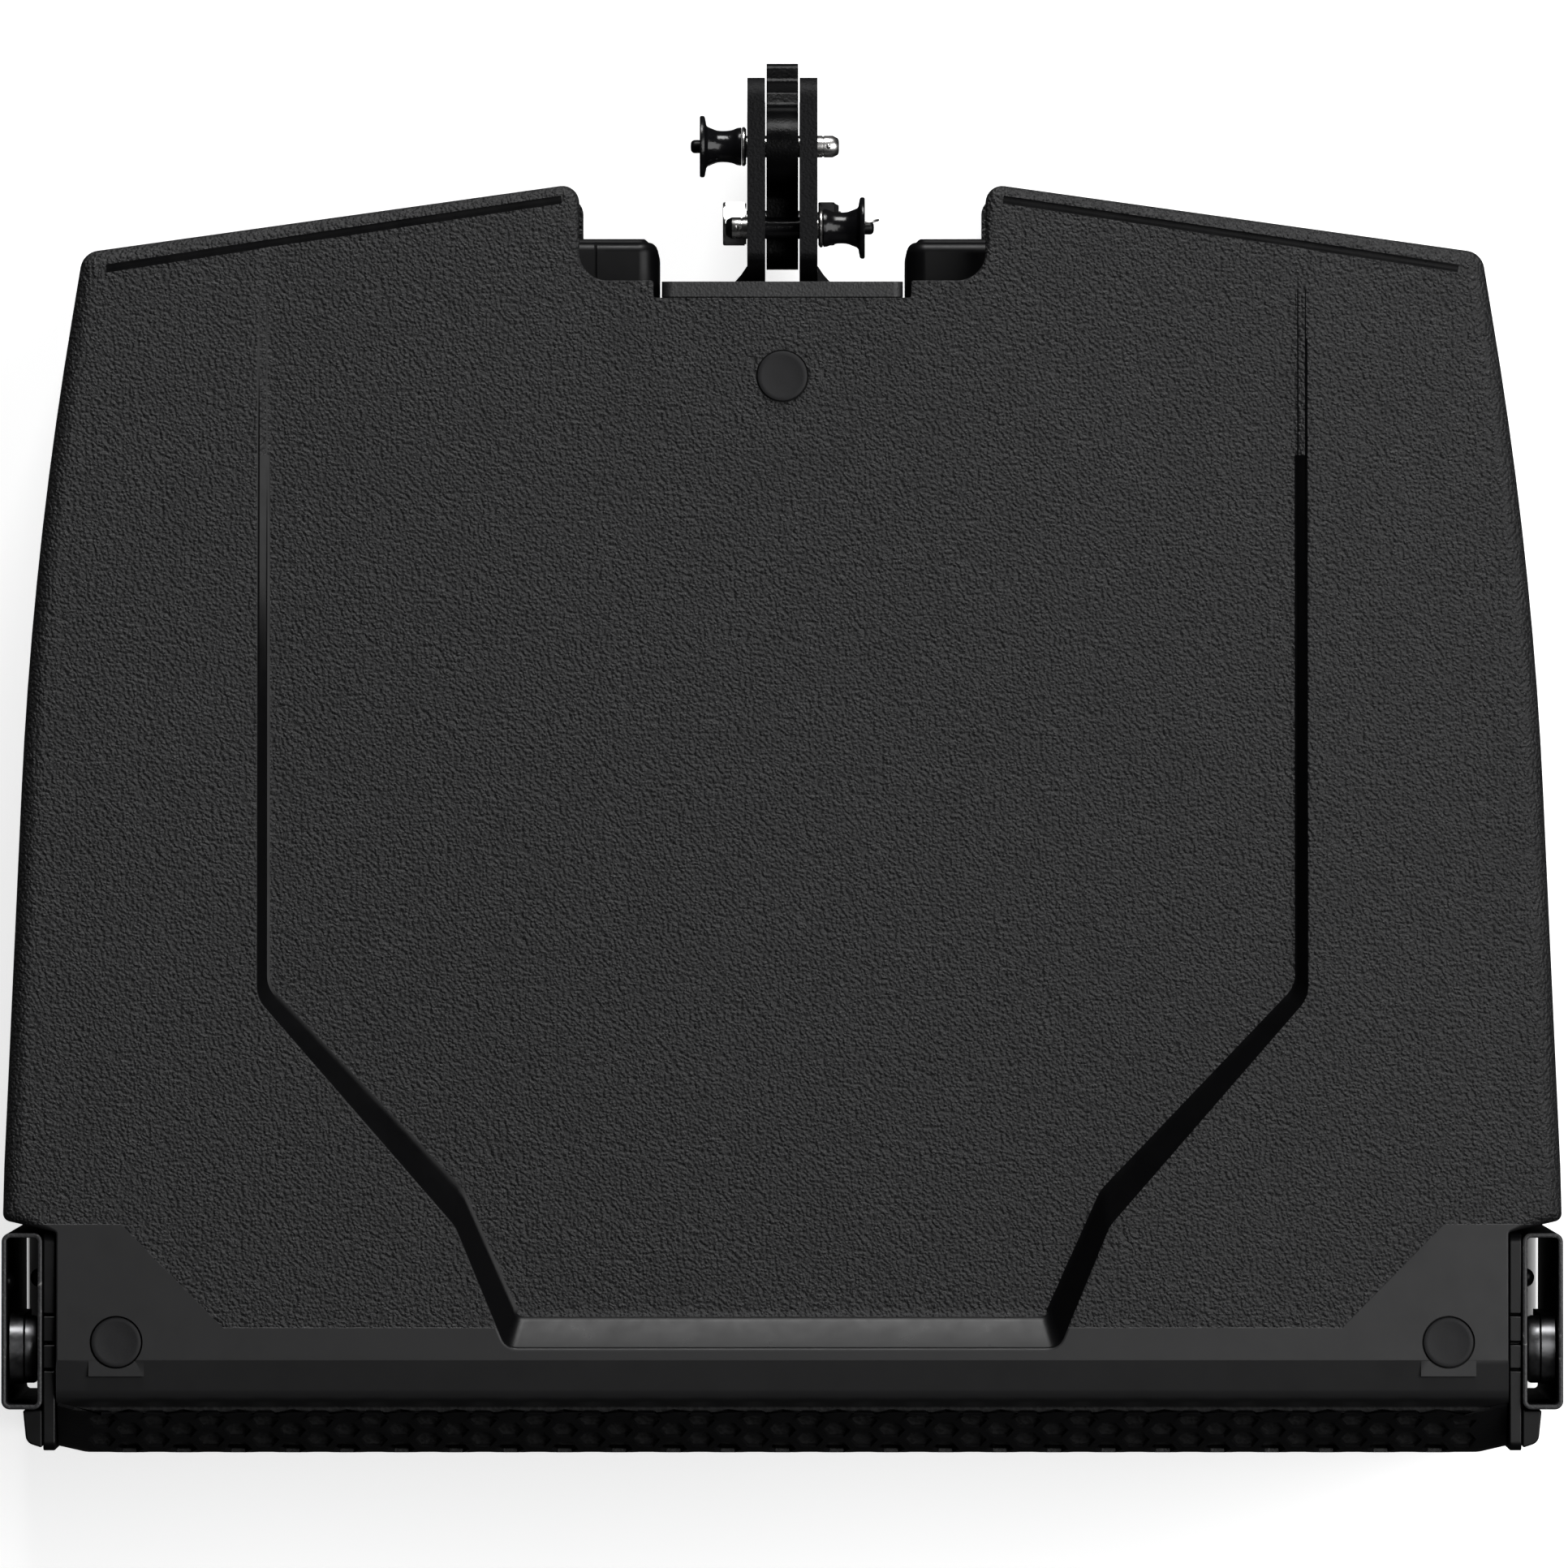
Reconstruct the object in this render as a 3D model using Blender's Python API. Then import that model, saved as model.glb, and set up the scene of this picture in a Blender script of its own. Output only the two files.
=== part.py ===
"""Compact active line array speaker module, built as separate pieces.

Lengths are millimetres and become metres when a mesh is made. The cabinet frame has
x to the right, y to the rear from near the front face, and z up from the cabinet's
middle plane. Both decks slope towards that plane at the rear, so the cabinet is a wedge;
one empty turns the whole module until it stands level on its three feet.
"""

from math import acos, atan2, cos, pi, radians, sin, sqrt, tan

import bmesh
import bpy
from mathutils import Matrix, Vector

MM = 0.001
GAP = 0.3
WEDGE = radians(4.0)

# Cabinet
DECK = 116.0
SEAM_GAP = 0.3
WALL = 5.0
FRONT_RIM_Y = 14.0
STEP_Y = 68.8
STRIP_SIDE = 218.1
SIDE_WIDEST = 234.6
SIDE_DRAFT = 0.044
BOW_START_Y = 198.0
BOW = 4.25e-4
CREASE_Y = 28.1
BAFFLE_Y = (25.0, 37.0)
BAFFLE_HALF = (212.5, 100.0)
CAVITY_REAR_Y = 335.0
BAY_Y = 341.0
BAY_SIDES = (36.9, 168.0)
BAY_HALF_HEIGHT = 104.0
WINDOW_SIDES = (50.0, 158.0)
WINDOW_Z = (-66.0, 48.0)

# Sunken panel of the deck
RECESS_TOP = [(157.6, 390, 0), (157.6, 137, 9), (98, 68.5, 12), (82.8, 31.7, 5)]
RECESS_FLOOR = [(154.7, 390, 0), (154.7, 140, 9), (96, 78.5, 12), (79.5, 41.7, 4)]
RECESS_END_Y = 366.0
RECESS_DEPTH = 9.2
RECESS_SKIN = 4.5

# Pads and feet
SEATS = {"left": (-200.0, 33.4), "right": (200.0, 33.4), "rear": (0.0, 323.8)}
SEAT_RADIUS = 7.95
SEAT_DEPTH = 1.8
PAD_RADIUS = 7.55
PAD_SINK = 0.4
FOOT_HEIGHT = 2.5

# Front of the speaker
GRILLE_Y = -0.2
GRILLE_LIP = (12.3, 108.5)
GRILLE_FACE_HALF = 93.0
GRILLE_SHEET = 1.2
FOAM_Y = (1.8, 6.8)
FOAM_HALF = (213.8, 88.0)
WOOFER_X = 128.0
WOOFER_RADIUS = 82.5
CONE_RADIUS = 57.5
HORN_MOUTH = (40.0, 90.0)
HORN_THROAT = 12.7
HORN_REAR_Y = 108.0
PORT_X = 150.0
PORT_HALF_WIDTH = 30.0
PORT_Z = (-96.0, -87.0)
PORT_REAR_Y = 80.0

# Rigging tubes and their sliding links
TUBE_X = (222.3, 234.5)
TUBE_Y = (13.2, 66.1)
TUBE_WALL = 1.4
TUBE_HALF_HEIGHT = 114.0
LINK_CENTRE_Y = 31.0
LINK_PLATE_X = (228.2, 232.3)
LINK_DISC_X = (224.0, 228.0)
LINK_NOSE_RADIUS = 10.5
LINK_NOSE_Z = 94.0
LINK_BOTTOM_Z = 10.0
LINK_SLOT_Z = (34.0, 78.0)
GUIDE_PIN_RADIUS = 3.0

# Rear spine, ears, link and pins
SPINE_HALF_WIDTH = 36.3
SPINE_Y = (347.7, 352.3)
SPINE_HALF_HEIGHT = 89.5
EAR_X = (5.25, 10.6)
EAR_TOP_Z = 84.0
LINK_HALF_THICKNESS = 4.8
UPPER_PIN = (393.3, 73.0)
LOWER_PIN = (368.8, 70.0)
PIVOT = (370.6, 44.0)
STACK_PIN = (398.0, -66.0)
REAR_LINK_SWING = radians(4.0)
PIN_RADIUS = 3.3
PIVOT_RADIUS = 4.0

# Rear panels
HOOD_SIDES = (37.5, 165.0)
HOOD_Z = (-76.0, 58.0)
HOOD_WALL = 4.5
HOOD_CORNER = 6.0
HOOD_REAR_Y = 365.8
PANEL_Y = (341.3, 344.3)
SOCKET_RADIUS = 12.0
SOCKET_BORE = 8.6
SOCKET_FLANGE = (13.0, 15.5, 2.2)
SOCKETS = {
    "signal_input": (-78.0, 35.0),
    "signal_link": (-78.0, -53.0),
    "mains_inlet": (78.0, 35.0),
    "mains_link": (78.0, -53.0),
}
KNOBS = {
    "level_knob": (-146.0, 27.0),
    "cluster_knob": (-146.0, -9.0),
    "curve_knob": (-146.0, -45.0),
}
HEATSINK_X = (112.0, 154.0)
HEATSINK_Z = (-66.0, 48.0)
HEATSINK_DEPTH = 15.0
HEATSINK_BASE = 4.0
HEATSINK_FINS = 6
BOARD_Y = (314.0, 316.0)
BOARD_X = (54.0, 182.0)
BOARD_HALF_HEIGHT = 60.0

COLOURS = {
    "shell": ((0.026, 0.026, 0.028), 0.62, 0.0),
    "steel_black": ((0.028, 0.028, 0.030), 0.55, 0.6),
    "steel_bright": ((0.55, 0.55, 0.56), 0.25, 1.0),
    "rubber": ((0.020, 0.020, 0.022), 0.85, 0.0),
    "plastic_black": ((0.012, 0.012, 0.013), 0.38, 0.0),
    "foam": ((0.010, 0.010, 0.011), 0.95, 0.0),
    "paper": ((0.035, 0.034, 0.033), 0.80, 0.0),
    "ferrite": ((0.060, 0.060, 0.065), 0.60, 0.3),
    "aluminium": ((0.50, 0.50, 0.52), 0.40, 1.0),
    "board": ((0.02, 0.10, 0.05), 0.50, 0.0),
    "wood": ((0.10, 0.07, 0.04), 0.70, 0.0),
}

materials = {}


def clear_scene():
    for item in list(bpy.data.objects):
        bpy.data.objects.remove(item, do_unlink=True)


def material(name):
    """One Principled material for each kind of finish."""
    if name not in materials:
        colour, roughness, metallic = COLOURS[name]
        made = bpy.data.materials.new(name)
        made.use_nodes = True
        shader = made.node_tree.nodes["Principled BSDF"]
        shader.inputs["Base Color"].default_value = (*colour, 1.0)
        shader.inputs["Roughness"].default_value = roughness
        shader.inputs["Metallic"].default_value = metallic
        materials[name] = made
    return materials[name]


# Outlines -----------------------------------------------------------------------------


def arc(centre, radius, start, end, steps):
    """Points on an arc, both ends included; angles in radians."""
    return [
        (
            centre[0] + radius * cos(start + (end - start) * i / steps),
            centre[1] + radius * sin(start + (end - start) * i / steps),
        )
        for i in range(steps + 1)
    ]


def fillet(corners, steps=3, is_loop=True):
    """Round each (a, b, radius) corner of an outline; a radius of 0 stays sharp."""
    points = []
    last = len(corners) - 1
    for i, (a, b, radius) in enumerate(corners):
        if radius == 0 or (not is_loop and i in (0, last)):
            points.append((a, b))
            continue
        here = Vector((a, b))
        before = (Vector(corners[i - 1][:2]) - here).normalized()
        after = (Vector(corners[(i + 1) % len(corners)][:2]) - here).normalized()
        half = acos(max(-1.0, min(1.0, before.dot(after)))) / 2
        reach = radius / tan(half)
        centre = here + (before + after).normalized() * radius / sin(half)
        first = here + before * reach - centre
        final = here + after * reach - centre
        turn = pi - 2 * half
        if first.x * final.y - first.y * final.x < 0:
            turn = -turn
        for step in range(steps + 1):
            spoke = first.copy()
            spoke.rotate(Matrix.Rotation(turn * step / steps, 2))
            points.append(tuple(centre + spoke))
    return points


def circle(centre, radius, steps=24):
    return arc(centre, radius, 0, 2 * pi * (1 - 1 / steps), steps - 1)


def rectangle(a, b, radius=0.0, steps=2):
    """Rounded rectangle from (a low, a high) and (b low, b high)."""
    corners = [(a[0], b[0]), (a[1], b[0]), (a[1], b[1]), (a[0], b[1])]
    return fillet([(*corner, radius) for corner in corners], steps)


def inset(points, distance):
    """Move each point of an anticlockwise outline inwards; distance may be a list."""
    count = len(points)
    moved = []
    for i, point in enumerate(points):
        here = Vector(point)
        along = (here - Vector(points[i - 1])).normalized()
        onward = (Vector(points[(i + 1) % count]) - here).normalized()
        normal = Vector((-along.y - onward.y, along.x + onward.x)).normalized()
        stretch = max(0.5, normal.dot(Vector((-along.y, along.x))))
        shift = distance[i] if isinstance(distance, list) else distance
        moved.append(tuple(here + normal * shift / stretch))
    return moved


def mirrored(right):
    """Whole outline from its right half, which starts and ends on the centre line."""
    left = [(-point[0], *point[1:]) for point in reversed(right)]
    return right + [point for point in left if abs(point[0]) > 1e-6]


# Solids -------------------------------------------------------------------------------

AXES = {
    "x": lambda a, b, h: (h, a, b),
    "y": lambda a, b, h: (a, h, b),
    "z": lambda a, b, h: (a, b, h),
}


def finish(name, mesh, look, keep_sharp=30.0):
    """Link a mesh as an object with its finish, faces out and round sides smooth."""
    shape = bmesh.new()
    shape.from_mesh(mesh)
    bmesh.ops.recalc_face_normals(shape, faces=shape.faces)
    shape.to_mesh(mesh)
    shape.free()
    mesh.materials.clear()
    mesh.materials.append(material(look))
    mesh.shade_smooth()
    mesh.set_sharp_from_angle(angle=radians(keep_sharp))
    made = bpy.data.objects.new(name, mesh)
    bpy.context.scene.collection.objects.link(made)
    return made


def rings_mesh(name, rings, is_torus=False):
    """Skin a stack of equal rings; the ends are capped unless the stack closes."""
    shape = bmesh.new()
    rows = [[shape.verts.new(Vector(p) * MM) for p in ring] for ring in rings]
    count = len(rows[0])
    spans = list(zip(rows, rows[1:]))
    if is_torus:
        spans.append((rows[-1], rows[0]))
    for low, high in spans:
        for i in range(count):
            j = (i + 1) % count
            shape.faces.new((low[i], low[j], high[j], high[i]))
    if not is_torus:
        shape.faces.new(list(reversed(rows[0])))
        shape.faces.new(rows[-1])
    mesh = bpy.data.meshes.new(name)
    shape.to_mesh(mesh)
    shape.free()
    return mesh


def prism(name, points, low, high, look, axis="z"):
    """Solid with one outline, square to an axis, from low to high along it."""
    put = AXES[axis]
    rings = [[put(a, b, h) for a, b in points] for h in (low, high)]
    return finish(name, rings_mesh(name, rings), look)


def box(name, x, y, z, look):
    return prism(name, rectangle(x, y), z[0], z[1], look)


def lathe(name, profile, centre, look, axis="y", steps=24, is_ring=False):
    """Turned solid: profile lists (radius, height along the axis)."""
    put = AXES[axis]
    rings = []
    for radius, height in profile:
        points = circle(centre, radius, steps)
        rings.append([put(a, b, height) for a, b in points])
    return finish(name, rings_mesh(name, rings, is_ring), look)


def combine(target, others, operation):
    """Boolean with exact solver; the other solids are used up."""
    for other in others:
        step = target.modifiers.new(operation.lower(), "BOOLEAN")
        step.operation = operation
        step.solver = "EXACT"
        step.object = other
        bake(target)
        bpy.data.objects.remove(other, do_unlink=True)
    return target


def cut(target, *others):
    return combine(target, others, "DIFFERENCE")


def join(target, *others):
    return combine(target, others, "UNION")


def bake(target):
    """Replace the mesh by its evaluated form and merge doubled points."""
    graph = bpy.context.evaluated_depsgraph_get()
    result = bpy.data.meshes.new_from_object(target.evaluated_get(graph))
    target.modifiers.clear()
    shape = bmesh.new()
    shape.from_mesh(result)
    bmesh.ops.remove_doubles(shape, verts=shape.verts, dist=0.001 * MM)
    shape.to_mesh(result)
    shape.free()
    result.shade_smooth()
    result.set_sharp_from_angle(angle=radians(30.0))
    target.data = result


def flatten(target):
    """Merge the coplanar faces that cuts leave behind."""
    shape = bmesh.new()
    shape.from_mesh(target.data)
    edges = list(shape.edges)
    bmesh.ops.dissolve_limit(
        shape, angle_limit=radians(0.4), verts=shape.verts, edges=edges
    )
    bmesh.ops.triangulate(shape, faces=shape.faces)
    shape.to_mesh(target.data)
    shape.free()
    target.data.shade_smooth()
    target.data.set_sharp_from_angle(angle=radians(30.0))
    return target


def taper(target):
    """Scale heights towards the middle plane so that the decks form a wedge."""
    for vertex in target.data.vertices:
        vertex.co.z *= 1 - tan(WEDGE) * vertex.co.y / (DECK * MM)
    return target


def slope(target, side):
    """Slide a piece up or down so that it lies along the upper or lower deck."""
    for vertex in target.data.vertices:
        vertex.co.z -= side * tan(WEDGE) * vertex.co.y
    return target


def hold(target, point):
    """Put the object's origin on a point of the cabinet frame."""
    shift = Vector(point) * MM
    target.data.transform(Matrix.Translation(-shift))
    target.location = shift
    return target


# Cabinet ------------------------------------------------------------------------------


def side_half_width(y):
    """Cabinet half width: nearly straight, then bowed in towards the rear."""
    bow = max(0.0, y - BOW_START_Y)
    return SIDE_WIDEST - SIDE_DRAFT * (y - STEP_Y) - BOW * bow * bow


def shell_corners():
    """Plan corners as (x, y, corner radius, radius of the edge under the deck)."""
    right = [
        (0.0, FRONT_RIM_Y, 0, 0.6),
        (STRIP_SIDE, FRONT_RIM_Y, 1.5, 0.6),
        (STRIP_SIDE, STEP_Y - 2.4, 1.0, 0.6),
        (SIDE_WIDEST - 0.4, STEP_Y + 1.2, 2.5, 5.0),
    ]
    stations = (104, 150, 198, 232, 266, 300, 330, 346)
    right += [(side_half_width(y), y, 0, 6.0) for y in stations]
    right += [
        (side_half_width(360.0), 361.0, 6.0, 4.5),
        (61.2, 381.9, 5.0, 3.2),
        (61.2, 352.6, 8.5, 1.5),
        (38.8, 352.6, 0.8, 1.0),
        (38.8, 347.4, 0.6, 0.8),
        (0.0, 347.4, 0, 0.8),
    ]
    return mirrored(right)


def turns_left(corners, i):
    """Whether the outline bulges outwards at a corner."""
    before, here, after = (Vector(corners[j][:2]) for j in (i - 1, i, (i + 1) % len(corners)))
    first, second = here - before, after - here
    return first.x * second.y - first.y * second.x > 0


def deck_profile(side):
    """Shell solid up to the deck, with its edges rounded over."""
    corners = shell_corners()
    plan = [corner[:2] for corner in corners]
    rings = []
    for share in (None, 0.0, 0.5, 1.0):
        angle = (share or 0.0) * pi / 2
        inward = [edge * (1 - cos(angle)) for *_, edge in corners]
        moved = inset(plan, inward)
        rounded = []
        heights = []
        for i, (_, _, radius, edge) in enumerate(corners):
            swell = -inward[i] if turns_left(corners, i) else inward[i]
            rounded.append((*moved[i], max(0.3, radius + swell) if radius else 0))
            height = SEAM_GAP / 2 if share is None else DECK - edge * (1 - sin(angle))
            heights += [height] * (4 if radius else 1)
        rings.append([(x, y, side * h) for (x, y), h in zip(fillet(rounded), heights)])
    return rings


def recess_drop(y):
    """Depth of the sunken panel's floor under the deck."""
    return RECESS_DEPTH * (RECESS_END_Y - y) / (RECESS_END_Y - 36.0)


def recess_solid(name, side, outline_top, outline_floor, skin, head):
    """Sunken panel as a solid: sloping floor, drafted walls, straight head."""
    rows = []
    for corners, steps in ((outline_floor, 3), (outline_top, 3)):
        right = fillet(corners, steps, is_loop=False)
        rows.append(right + [(-x, y) for x, y in reversed(right)])
    floor = [(x, y, side * (DECK - recess_drop(y) - skin)) for x, y in rows[0]]
    if head < 0:
        stack = [floor, [(x, y, side * (DECK + head)) for x, y in rows[1]]]
    else:
        lift = [max(0.0, -recess_drop(y)) + 0.05 for _, y in rows[1]]
        brim = [(x, y, side * (DECK + up)) for (x, y), up in zip(rows[1], lift)]
        crown = [(x, y, side * (DECK + head)) for x, y in rows[1]]
        stack = [floor, brim, crown]
    return finish(name, rings_mesh(name, stack), "shell")


def widened(corners, by):
    """Recess corners moved outwards by a wall, and ended inside the cabinet."""
    moved = [(x + by, min(y, CAVITY_REAR_Y + 2), r) for x, y, r in corners]
    return moved[:-1] + [(moved[-1][0], moved[-1][1] - by, moved[-1][2])]


def half_shell(name, side):
    """Upper (side 1) or lower (side -1) half of the moulded cabinet."""
    shell = finish(name, rings_mesh(name, deck_profile(side)), "shell")

    def slab(label, x, y, z):
        low, high = sorted((side * z[0], side * z[1]))
        return box(label, x, y, (low, high), "shell")

    top = DECK + 6
    chamfer = [
        (CREASE_Y, DECK),
        (18.0, DECK - 2.6),
        (15.6, DECK - 3.8),
        (14.3, DECK - 6.2),
        (13.9, DECK - 8.5),
        (8.0, DECK - 8.5),
        (8.0, top),
        (CREASE_Y, top),
    ]
    ends = [(y, side * z) for y, z in chamfer]
    wedge = prism("chamfer", ends, -240, 240, "shell", axis="x")
    cut(shell, wedge)
    for sign in (-1, 1):
        boss_x = sorted((sign * 191.7, sign * 208.3))
        boss_z = (DECK - 4.6, DECK - 0.05)
        join(shell, slab("pad_boss", boss_x, (23.2, 30.0), boss_z))

    half_x, half_z = BAFFLE_HALF
    mouth_z = half_z + 1.2 + tan(WEDGE) * BAFFLE_Y[1]
    mouth = slab("mouth", (-half_x - 0.4, half_x + 0.4), (0, 42), (-5, mouth_z))
    inner = [
        (STRIP_SIDE - WALL, 40.0),
        (STRIP_SIDE - WALL, STEP_Y + WALL),
        (side_half_width(STEP_Y) - WALL, STEP_Y + WALL),
    ]
    inner += [(side_half_width(y) - WALL, y) for y in (198, 250, 300)]
    inner += [(side_half_width(CAVITY_REAR_Y) - WALL - 2, CAVITY_REAR_Y)]
    room = inner + [(-x, y) for x, y in reversed(inner)]
    low, high = sorted((-5 * side, (DECK - WALL) * side))
    cut(shell, mouth, prism("room", room, low, high, "shell"))

    boss_top = widened(RECESS_TOP, WALL)
    boss_floor = widened(RECESS_FLOOR, WALL)
    join(shell, recess_solid("skin", side, boss_top, boss_floor, RECESS_SKIN, -1))
    cut(shell, recess_solid("recess", side, RECESS_TOP, RECESS_FLOOR, 0, 8))

    for x, y in SEATS.values():
        low, high = sorted((side * (DECK - SEAT_DEPTH), side * (DECK + 4)))
        rings = circle((x, y), SEAT_RADIUS, 20)
        cut(shell, prism("seat", rings, low, high, "shell"))

    for sign in (-1, 1):
        bay_x = sorted(sign * x for x in BAY_SIDES)
        window_x = sorted(sign * x for x in WINDOW_SIDES)
        cut(shell, slab("bay", bay_x, (BAY_Y, 400), (-5, BAY_HALF_HEIGHT)))
        window_z = WINDOW_Z[1] if side > 0 else -WINDOW_Z[0]
        window_z /= 1 - tan(WEDGE) * BAY_Y / DECK
        cut(shell, slab("window", window_x, (325, 350), (-5, window_z)))
    return taper(flatten(shell))


def pads_and_feet():
    """Round pads let into the upper deck, rubber feet under the lower one."""
    for place, (x, y) in SEATS.items():
        shrink = 1 - tan(WEDGE) * y / DECK
        floor = SEAT_DEPTH * shrink - GAP
        pad = lathe(
            f"deck_pad_{place}",
            [
                (PAD_RADIUS, DECK - floor),
                (PAD_RADIUS, DECK - 0.7),
                (PAD_RADIUS - 0.4, DECK - PAD_SINK),
            ],
            (x, y),
            "rubber",
            axis="z",
            steps=20,
        )
        slope(pad, 1)
        foot = lathe(
            f"foot_{place}",
            [
                (PAD_RADIUS, -DECK + floor),
                (PAD_RADIUS, -DECK - FOOT_HEIGHT + 0.6),
                (PAD_RADIUS - 0.6, -DECK - FOOT_HEIGHT),
            ],
            (x, y),
            "rubber",
            axis="z",
            steps=20,
        )
        slope(foot, -1)


# Front --------------------------------------------------------------------------------


def baffle():
    half_x, half_z = BAFFLE_HALF
    outline = rectangle((-half_x, half_x), (-half_z, half_z), 4)
    board = prism("front_baffle", outline, *BAFFLE_Y, "wood", axis="y")
    for sign in (-1, 1):
        hole = circle((sign * WOOFER_X, 0), 72.5, 32)
        cut(board, prism("hole", hole, 20, 40, "wood", axis="y"))
        middle = sign * PORT_X
        sides = (middle - PORT_HALF_WIDTH - 2, middle + PORT_HALF_WIDTH + 2)
        slot = rectangle(sides, (PORT_Z[0] - 1.8, PORT_Z[1] + 2), 3)
        cut(board, prism("slot", slot, 20, 40, "wood", axis="y"))
    x, z = HORN_MOUTH
    mouth = rectangle((-x + 1, x - 1), (-z + 1, z - 1), 3)
    cut(board, prism("mouth", mouth, 20, 40, "wood", axis="y"))
    flatten(board)


def grille_and_foam():
    lip_y, lip_z = GRILLE_LIP
    lean = atan2(lip_y - GRILLE_Y, lip_z - GRILLE_FACE_HALF)
    outer = [(lip_y, lip_z), (GRILLE_Y, GRILLE_FACE_HALF)]
    inner = [
        (lip_y, lip_z - GRILLE_SHEET / sin(lean)),
        (GRILLE_Y + GRILLE_SHEET, GRILLE_FACE_HALF - GRILLE_SHEET * tan(lean / 2)),
    ]
    front = outer + [(y, -z) for y, z in reversed(outer)]
    back = [(y, -z) for y, z in inner] + inner[::-1]
    half = STRIP_SIDE - GAP
    prism("grille", front + back, -half, half, "steel_black", axis="x")
    foam_x, foam_z = FOAM_HALF
    sheet = rectangle((-foam_x, foam_x), (-foam_z, foam_z), 6)
    prism("grille_foam", sheet, *FOAM_Y, "foam", axis="y")


def side_trim(side, sign):
    """Strip beside the grille and shell, and the moulded cheek before the tube."""
    x = sorted((sign * (STRIP_SIDE + GAP), sign * (TUBE_X[0] - GAP)))
    corners = [(y, z, 3) for y, z in ((0.8, -110), (66.0, -114), (66.0, 114), (0.8, 110))]
    outline = fillet(corners, 2)
    taper(prism(f"side_strip_{side}", outline, *x, "plastic_black", axis="x"))
    near, far = TUBE_X[0], 228.1
    corners = [
        (near, 1.6, 0.5),
        (far - 1, 3.2, 3),
        (far, TUBE_Y[0] - GAP, 0.5),
        (near, TUBE_Y[0] - GAP, 0.5),
    ]
    outline = [(sign * a, b) for a, b in fillet(corners, 3)]
    taper(prism(f"cheek_{side}", outline, -110, 110, "plastic_black"))


def woofer(side, sign):
    """6-inch woofer: pressed basket, magnet, cone with coil and dust cap, surround."""
    centre = (sign * WOOFER_X, 0)
    lathe(
        f"woofer_basket_{side}",
        [
            (WOOFER_RADIUS, 19.7),
            (WOOFER_RADIUS, 24.7),
            (71.5, 24.7),
            (70.0, 40.0),
            (46.0, 68.0),
            (46.0, 74.0),
            (20.0, 74.0),
            (20.0, 71.0),
            (43.0, 71.0),
            (43.5, 66.0),
            (66.8, 39.0),
            (70.2, 25.0),
            (70.2, 19.7),
        ],
        centre,
        "steel_black",
        steps=20,
        is_ring=True,
    )
    lathe(
        f"woofer_magnet_{side}",
        [(50.0, 74.4), (52.0, 76.0), (52.0, 96.0), (44.0, 104.0)],
        centre,
        "ferrite",
        steps=20,
    )
    cone = lathe(
        f"woofer_cone_{side}",
        [
            (0.4, 41.0),
            (14.0, 43.5),
            (18.6, 47.0),
            (20.0, 50.0),
            (CONE_RADIUS, 24.5),
            (CONE_RADIUS, 25.9),
            (19.0, 52.5),
            (18.4, 66.0),
            (17.2, 66.0),
            (17.2, 50.0),
            (13.0, 45.5),
            (0.4, 43.0),
        ],
        centre,
        "paper",
        steps=20,
        is_ring=True,
    )
    plug = lathe("plug", [(0.9, 41.4), (0.9, 42.6)], centre, "paper", steps=12)
    join(cone, plug)
    hold(cone, (centre[0], 41.0, 0))
    lathe(
        f"woofer_surround_{side}",
        [
            (58.0, 23.5),
            (60.0, 20.6),
            (63.6, 19.2),
            (67.2, 20.6),
            (69.3, 23.2),
            (69.3, 24.2),
            (66.6, 22.0),
            (63.6, 20.6),
            (60.8, 22.0),
            (58.6, 24.6),
        ],
        centre,
        "rubber",
        steps=20,
        is_ring=True,
    )


def horn_and_driver():
    """Waveguide from a rounded slot to the driver's round throat."""

    def ring(y, half_x, half_z, share, grow):
        """Blend of a rectangle and the throat circle; share 1 is the circle."""
        points = []
        for i in range(24):
            angle = 2 * pi * (i + 0.5) / 24
            c, s = cos(angle), sin(angle)
            reach = 1 / max(abs(c), abs(s))
            flat = ((half_x + grow) * c * reach, (half_z + grow) * s * reach)
            round_ = ((HORN_THROAT + grow) * c, (HORN_THROAT + grow) * s)
            a = flat[0] * (1 - share) + round_[0] * share
            b = flat[1] * (1 - share) + round_[1] * share
            points.append((a, y, b))
        return points

    x, z = HORN_MOUTH
    rings = [
        ring(24.6, x, z, 0.0, 4.0),
        ring(24.6, x - 4, z - 4, 0.0, 0.0),
        ring(62.0, 22, 62, 0.15, 2.5),
        ring(HORN_REAR_Y - 4, 12, 16, 0.8, 2.5),
        ring(HORN_REAR_Y - 4, 30, 30, 1.0, 22.0),
        ring(HORN_REAR_Y, 30, 30, 1.0, 22.0),
        ring(HORN_REAR_Y, 12, 16, 1.0, 0.0),
        ring(62.0, 22, 62, 0.15, 0.0),
        ring(20.6, x - 6.5, z - 6.5, 0.0, 0.0),
        ring(20.6, x, z, 0.0, 4.0),
    ]
    finish("horn", rings_mesh("horn", rings, is_torus=True), "plastic_black")
    lathe(
        "compression_driver",
        [
            (34.0, HORN_REAR_Y + 0.4),
            (36.0, HORN_REAR_Y + 2.5),
            (36.0, HORN_REAR_Y + 12),
            (45.0, HORN_REAR_Y + 14),
            (45.0, HORN_REAR_Y + 44),
            (30.0, HORN_REAR_Y + 52),
        ],
        (0, 0),
        "ferrite",
        steps=20,
    )


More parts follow.
